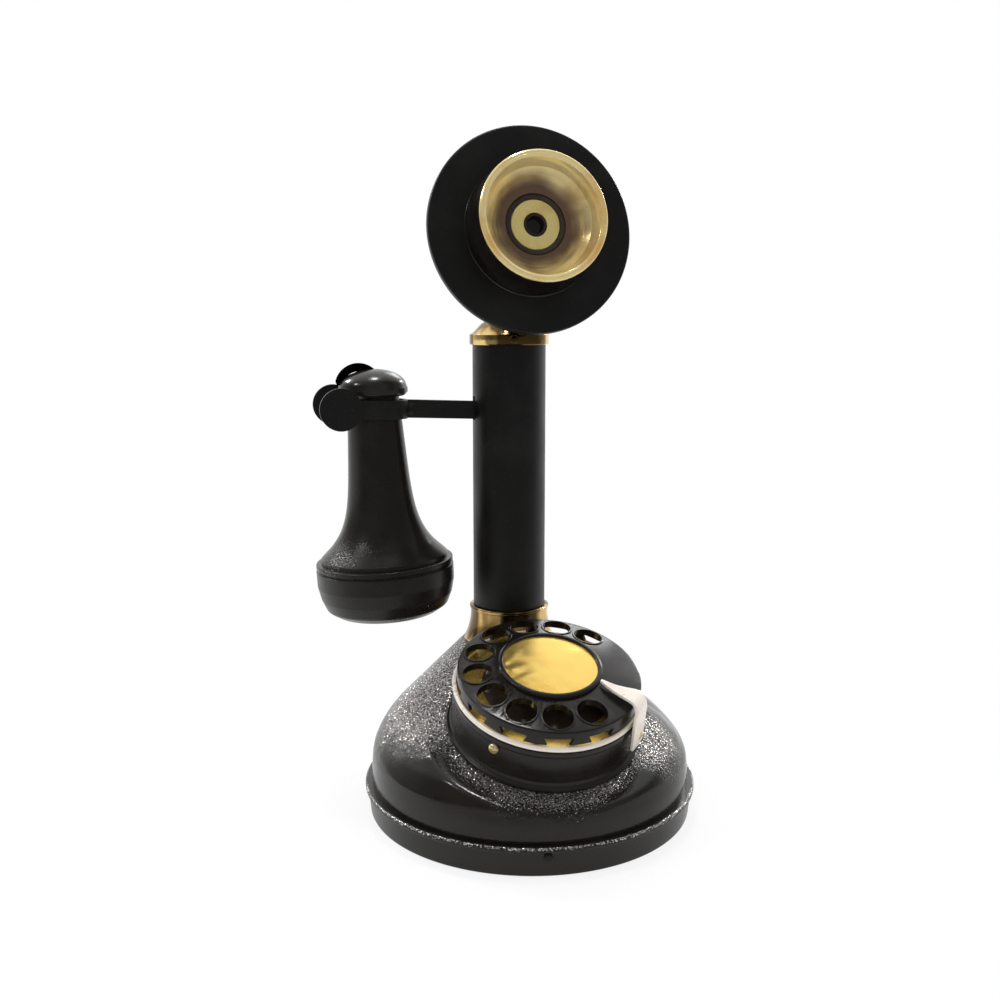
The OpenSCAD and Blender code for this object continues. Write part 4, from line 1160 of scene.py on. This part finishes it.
@dataclass
class Transmitter:
    """The tilting head: face plate, rear case, mouthpiece, bowl and microphone."""

    face_r: float = 46.5
    thick: float = 4.0
    length: float = 21.5
    rim_r: float = 28.4
    root_r: float = 29.8
    bowl_floor: float = 6.0

    def build(self, shop: Shop) -> None:
        """Makes every piece of the transmitter."""
        self.case(shop)
        self.mouthpiece(shop)
        self.microphone(shop)

    def case(self, shop: Shop) -> None:
        """Makes the face plate, the case behind it, its screws and the lug."""
        r, t = self.face_r, self.thick
        shop.turned("face_disc", [
            (self.rim_r - 6, -t, 0.2), (r, -t, 0.9), (r, 0, 1.3), (self.rim_r - 6, 0.1, 0.2)],
            Place.FACE, Body.TRANSMITTER, SATIN, ["face_plate"], steps=240)
        rim, depth = r - 5, 23.0
        outer = [(rim, -0.02, 0.3), (rim, -2, 0.6),
                 *arc((12, -2), (rim - 12, 2 - depth), range(5, 91, 5))]
        inner = arc((10, -3), (rim - 12.5, 5.4 - depth), (7.5 * k for k in range(12, -1, -1)))
        section = [(0, -depth, 0.0), (0, -depth + 2.4, 0.0), *inner, (rim - 2.5, -0.02, 0.2),
                   *outer]
        bm = spin_profile([(x, z - t) for x, z in rounded(section[1:] + section[:1])], closed=False)
        shop.piece(bm, "back_case", Place.FACE, Body.TRANSMITTER, SATIN, ["rear_case"])
        screws = joined(moved(dome_screw(1.8, 1.2, True),
                              turning(a) @ shift(r - 2.9, 0, -t + 0.1) @ turning(180, "X"))
                        for a in (30, 150, 270))
        shop.piece(screws, "case_screws", Place.FACE, Body.TRANSMITTER, DARK_STEEL,
                   ["rear_case_screws"])
        shop.finish(shop.copy_of("tilt_lug"), Body.TRANSMITTER, SATIN, ["tilt_lug"], bevel=0.35)

    def mouthpiece(self, shop: Shop) -> None:
        """Makes the black outer shell and the spun brass bowl inside it."""
        m, r, n = self.length, self.rim_r, self.root_r
        shop.turned("mouth_shell", [
            (r - 2, 0.1, 0.2), (n + 0.8, 0.1, 0.3), (n + 0.2, 0.7, 0.5), (n, 2.2, 1.5),
            (n - 0.2, m * 0.35, 2), (r + 0.3, m * 0.7, 2), (r - 0.2, m - 1.8, 0.4),
            (r - 1.8, m - 1.8, 0.2), (r - 2, m * 0.6, 0)],
            Place.FACE, Body.TRANSMITTER, GLOSSY, ["mouthpiece_shell"], steps=240)
        z, f = m - 1.7, self.bowl_floor
        shop.turned("brass_bowl", [
            (r, z, 0.2), (r - 0.1, z + 0.9, 0.4), (r - 0.8, z + 1.5, 0.4), (r - 1.6, z + 1.2, 0.3),
            (r - 2.0, z + 1.5, 0.3), (r - 3.0, z + 0.9, 0.5), (r - 3.9, z - 2.2, 1.4),
            (r - 4.9, z - 6.4, 1.2), (r - 7.4, z - 8.6, 1.6), (r - 9.0, f + 3.4, 1.6),
            (r - 11.2, f + 1.4, 0.8), (13.6, f + 1.2, 0.1), (13.6, f, 0.1), (r - 10.6, f, 0.6),
            (r - 8, f + 2.6, 0.8), (r - 6.2, z - 8.8, 0.8), (r - 4.6, z - 7.2, 0.6),
            (r - 3.6, z - 6.0, 0.6), (r - 2.6, z - 2.4, 0.4), (r - 2.4, z, 0.2)],
            Place.FACE, Body.TRANSMITTER, SPUN_BRASS, ["mouthpiece_liner"], steps=240)

    def microphone(self, shop: Shop) -> None:
        """Makes the grey ring and the pale washer round the speaking hole."""
        shop.turned("bowl_ring", [(11.2, 5.5, 0.1), (13.4, 5.5, 0.1), (13.4, 7.0, 0.5),
                                  (12.5, 7.5, 0.4), (11.2, 7.0, 0.5)],
                    Place.FACE, Body.TRANSMITTER, GREY_RING, ["microphone_ring"], steps=128)
        shop.turned("hole_washer", [(5.3, 5.5, 0.1), (11, 5.5, 0.1), (11, 6.7, 0.3),
                                    (5.3, 6.7, 0.3)],
                    Place.FACE, Body.TRANSMITTER, WASHER, ["microphone_washer"], steps=128)
        shop.turned("inset", [(0, -15, 0), (18, -15, 0.5), (18, -5, 0.5), (13, -5, 0.3),
                              (13, 5.4, 0.2), (5.2, 5.4, 0.1), (5.0, 6.5, 0.3), (3.9, 6.5, 0.3),
                              (3.4, 2.5, 0.4), (0, 2.2, 0)],
                    Place.FACE, Body.TRANSMITTER, MOULDED, ["microphone_capsule"], steps=96,
                    closed=False)


# ---- Hook and receiver -----------------------------------------------------------------


@dataclass
class Hook:
    """The switch hook: arm, fork and rivets."""

    def build(self, shop: Shop) -> None:
        """Makes the hook's arm and fork and gives its rivets their finish."""
        shop.finish(shop.copy_of("hook_lever"), Body.HOOK, SATIN, ["hook_lever"], bevel=0.3)
        shop.finish(shop.copy_of("hook_fork"), Body.HOOK, SATIN, ["hook_fork"], bevel=0.35)
        shop.dress_node("hook_rivets", DARK_STEEL)


@dataclass
class Receiver:
    """The receiver: flared body, top cap with its cord sleeve, and ear cap."""

    neck_r: float = 12.1
    cap_r: float = 16.5
    cap_h: float = 12.9
    length: float = 81.0
    ear_r: float = 32.8
    ear_h: float = 22.9
    bend_r: float = 9.2
    bend_x: float = -6.4

    def radius(self, share: float) -> float:
        """Gives the body's radius at a share of its length below the top cap."""
        u = min(1.0, share / 0.97)
        return self.neck_r + (self.ear_r - 2.6 - self.neck_r) * (0.26 * u + 0.74 * u ** 7)

    def sleeve_path(self, radius: float, first: float, last: float) -> Mesh:
        """Makes a tube along the cord sleeve's arc over the top cap.

        Args:
            radius: the tube's radius.
            first: angle at which the arc starts, in degrees.
            last: angle at which it ends.

        Returns:
            The closed tube.
        """
        bm = bmesh.new()
        bmesh.ops.create_circle(bm, cap_ends=True, radius=radius, segments=28,
                                matrix=shift(self.bend_r, 0, 0) @ turning(90, "X"))
        bmesh.ops.rotate(bm, verts=bm.verts, cent=(0, 0, 0),
                         matrix=Matrix.Rotation(-math.radians(first), 3, "Y"))
        bmesh.ops.spin(bm, geom=bm.faces[:], cent=(0, 0, 0), axis=(0, -1, 0),
                       angle=math.radians(last - first), steps=28, use_merge=False,
                       use_duplicate=False)
        bmesh.ops.recalc_face_normals(bm, faces=bm.faces)
        return moved(bm, shift(self.bend_x, 0, self.cap_h - 8))

    def build(self, shop: Shop) -> None:
        """Makes every piece of the receiver."""
        steps, n, long, ear = 40, self.neck_r, self.length, self.ear_r
        outer = [(self.radius(k / steps), -0.2 - (long - 3.2) * k / steps, 0.0)
                 for k in range(steps + 1)]
        inner = [(max(7.0, self.radius(k / steps) - 3.6), -2 - (long - 3) * k / steps, 0.0)
                 for k in range(steps, 11, -1)]
        shop.turned("receiver_body", [
            (n - 2.4, 6, 0.2), (n - 2.4, 0.3, 0), (n, 0.3, 0.1), *outer,
            (ear - 0.3, 2.8 - long, 0.4), (ear, 2.4 - long, 0.3), (ear, 0.7 - long, 0.3),
            (ear - 0.8, 0.2 - long, 0.2), (ear - 0.8, -long, 0.0), (ear - 4, -long, 0), *inner,
            (7, -20, 0), (7, 6, 0.2)],
            Place.RECEIVER, Body.RECEIVER, BAKELITE, ["receiver_shell"])
        self.caps(shop)

    def caps(self, shop: Shop) -> None:
        """Makes the top cap, the sleeve that leaves it, and the ear cap."""
        c, h = self.cap_r, self.cap_h
        dome = arc((0, 4.4), (c - 0.6, h - 4.4), (5.625 * k for k in range(1, 17)))
        cap = shop.object(spin_profile(rounded([
            (0, 0.35, 0), (self.neck_r + 0.3, 0.35, 0.2), (self.neck_r + 0.8, 0, 0.2),
            (c - 1.5, 0, 0.8), (c, 1.6, 1.0), (c, 3.4, 0.8), *dome]), closed=False), "top_cap",
            Place.RECEIVER)
        channel = shop.object(self.sleeve_path(2.04, 40, 166), "channel", Place.RECEIVER)
        shop.combine(cap, [shop.drill(self.neck_r - 2.3, 5.8, 0.2, Place.RECEIVER), channel])
        shop.finish(cap, Body.RECEIVER, CAP_ENAMEL, ["receiver_top_cap"], smooth=40)
        shop.piece(self.sleeve_path(2.0, 48, 160), "cord_boot", Place.RECEIVER, Body.RECEIVER,
                   RUBBER, ["cord_sleeve"], bevel=0.4, smooth=50)
        z, e, r = -self.length - 0.05, self.ear_h, self.ear_r
        ear = spin_profile(rounded([
            (0, z, 0), (r - 0.6, z, 0.2), (r - 0.5, z - 0.35, 0.1), (r + 0.15, z - 0.6, 0.3),
            (r + 0.05, z - e * 0.35, 3), (r - 1.3, z - e * 0.62, 4), (r - 3.6, z - e * 0.86, 3),
            (r - 8.5, z - e, 3), (r - 14, z - e, 2), (8, z - e + 3, 1), (0, z - e + 3, 0)]),
            closed=False)
        cap = shop.object(ear, "listening_cap", Place.RECEIVER)
        shop.combine(cap, [shop.drill(r - 3, e - 6, z - e + 7.5, Place.RECEIVER, 128),
                           shop.drill(3.2, 20, z - e - 5, Place.RECEIVER, 48)])
        shop.finish(cap, Body.RECEIVER, EAR_ENAMEL, ["ear_cap"], smooth=40)


# ---- Unseen pieces ---------------------------------------------------------------------

INNER_FINISHES: dict[str, Finish] = {
    "base_plate": STEEL, "ballast_weight": CAST, "circuit_board": BOARD,
    "ringer_capsule": MOULDED, "column_clamp": STEEL, "switch_bracket": STEEL,
    "hook_pin": STEEL, "hook_contacts": CONTACT, "dial_frame": STEEL, "governor_cup": BRASS,
    "return_spring": STEEL, "pulse_contacts": CONTACT, "hub_screw": STEEL, "dial_shaft": STEEL,
    "main_gear": BRASS, "governor_spindle": STEEL, "governor_weights": BRASS,
    "receiver_capsule": MOULDED, "receiver_diaphragm": STEEL}


# ---- Studio ----------------------------------------------------------------------------


# Name, middle in metres, width and height, and watts of each lamp
LAMPS = (("back_left", (-0.60, 0.66, 0.80), (0.15, 0.15), 3.2),
         ("overhead", (-0.02, 0.14, 1.25), (0.17, 0.17), 3.6),
         ("back_right", (0.78, 0.66, 0.62), (0.14, 0.14), 2.2),
         ("back_glow", (0.48, 0.95, 0.82), (0.40, 0.30), 1.8),
         ("left_sparkle", (-0.85, -0.10, 0.95), (0.12, 0.12), 1.6))


@dataclass
class Studio:
    """The pale floor, the soft lights and the camera."""

    azimuth: float = 0.26
    distance: float = 0.5248
    height: float = 0.2253
    pitch: float = 0.161
    lens: float = 38.734
    shift: float = -0.00905
    sensor: float = 36.0
    floor_size: float = 6.0
    floor_grey: float = 0.93
    fill: float = 0.85

    def rays(self, w: Wiring) -> tuple[Socket, Socket]:
        """Gives which rays are seen directly or through glass, and which are mirrored."""
        found = w.add("ShaderNodeLightPath").outputs
        plain = w.math("MAXIMUM", found["Is Camera Ray"], found["Is Transmission Ray"])
        return plain, found["Is Glossy Ray"]

    def floor(self) -> None:
        """Lays a wide pale floor that keeps a faint shadow."""
        bm = bmesh.new()
        bmesh.ops.create_grid(bm, x_segments=2, y_segments=2, size=self.floor_size)
        floor = poured(bm, "floor")
        material = bpy.data.materials.new("pale_floor")
        material.use_nodes = True
        w = Wiring(material.node_tree)
        shader = w.existing("BSDF_PRINCIPLED")
        shader.inputs["Base Color"].default_value = (*[self.floor_grey] * 3, 1)
        shader.inputs["Roughness"].default_value = 0.8
        shader.inputs["Specular IOR Level"].default_value = 0.1
        glow = w.add("ShaderNodeEmission")
        glow.inputs["Color"].default_value = (1, 1, 1, 1)
        plain, glossy = self.rays(w)
        place = w.add("ShaderNodeTexCoord").outputs["Object"]
        reach = w.add("ShaderNodeVectorMath", operation="LENGTH")
        w.link(place, reach.inputs[0])
        white = w.spread(reach.outputs["Value"], 0.12, 0.34, 0.84, 1.0)
        across = w.add("ShaderNodeSeparateXYZ")
        w.link(place, across.inputs[0])
        behind = w.spread(across.outputs["Y"], -0.30, 0.20, 0.25, 1.0)
        w.link(w.math("MAXIMUM", plain, behind), glow.inputs["Strength"])
        mix = w.add("ShaderNodeMixShader")
        w.link(w.math("MULTIPLY", w.math("MAXIMUM", plain, glossy), white), mix.inputs[0])
        w.link(shader.outputs[0], mix.inputs[1])
        w.link(glow.outputs[0], mix.inputs[2])
        w.link(mix.outputs[0], w.existing("OUTPUT_MATERIAL").inputs["Surface"])
        floor.data.materials.append(material)

    def lamp(self, name: str, place: Sequence[float], size: tuple[float, float],
             power: float) -> None:
        """Hangs a rectangular lamp that faces the telephone.

        Args:
            name: the lamp's name.
            place: its middle.
            size: its width and height.
            power: its watts.
        """
        data = bpy.data.lights.new(name, "AREA")
        data.shape, data.size, data.size_y, data.energy = "RECTANGLE", size[0], size[1], power
        lamp = added(name, data)
        lamp.location = place
        aim = Vector(AIM) - Vector(place)
        lamp.rotation_euler = aim.to_track_quat("-Z", "Y").to_euler()

    def world(self) -> None:
        """Surrounds the telephone with white light, dimmer in what it mirrors at the left."""
        world = bpy.data.worlds.new("studio")
        world.use_nodes = True
        bpy.context.scene.world = world
        w = Wiring(world.node_tree)
        back = w.existing("BACKGROUND")
        back.inputs["Color"].default_value = (1, 1, 1, 1)
        plain, glossy = self.rays(w)
        turn = w.add("ShaderNodeSeparateXYZ")
        w.link(w.add("ShaderNodeTexCoord").outputs["Generated"], turn.inputs[0])
        left = w.spread(turn.outputs["X"], -0.95, -0.35, 0.30, 1.0)
        behind = w.math("MULTIPLY", left, w.spread(turn.outputs["Y"], -0.35, 0.50, 0.20, 1.0))
        above = w.spread(turn.outputs["Z"], 0.40, 1.0, 0.0, 0.35)
        shown = w.math("MAXIMUM", behind, above)
        mirrored = w.math("MULTIPLY", glossy, shown)
        rest = w.math("SUBTRACT", 1.0, w.math("MAXIMUM", plain, glossy))
        level = w.math("ADD", w.math("ADD", plain, mirrored), w.math("MULTIPLY", rest, self.fill))
        w.link(level, back.inputs["Strength"])

    def camera(self) -> None:
        """Sets the camera at the telephone's front left, a little above the hook."""
        data = bpy.data.cameras.new("camera")
        data.sensor_width, data.lens, data.shift_x = self.sensor, self.lens, self.shift
        data.clip_start, data.clip_end = 0.01, 60.0
        camera = added("camera", data)
        camera.location = (-self.distance * math.sin(self.azimuth),
                           COLUMN_Y * MM - self.distance * math.cos(self.azimuth), self.height)
        camera.rotation_euler = (math.pi / 2 - self.pitch, 0, -self.azimuth)
        bpy.context.scene.camera = camera

    def build(self) -> None:
        """Sets up the whole studio."""
        bpy.context.scene.view_settings.view_transform = "Standard"
        self.camera()
        self.floor()
        self.world()
        for name, place, size, power in LAMPS:
            self.lamp(name, place, size, power)


def main() -> None:
    """Builds the studio and every sub-assembly, and reports what was made."""
    Studio().build()
    shop = Shop()
    for assembly in (Base(), Dial(), Column(), Transmitter(), Hook(), Receiver()):
        LOG.info("building %s", type(assembly).__name__)
        assembly.build(shop)
    for node, surface in INNER_FINISHES.items():
        shop.dress_node(node, surface)
    LOG.info("%d pieces made", len(shop.made))


if __name__ == "__main__":
    main()
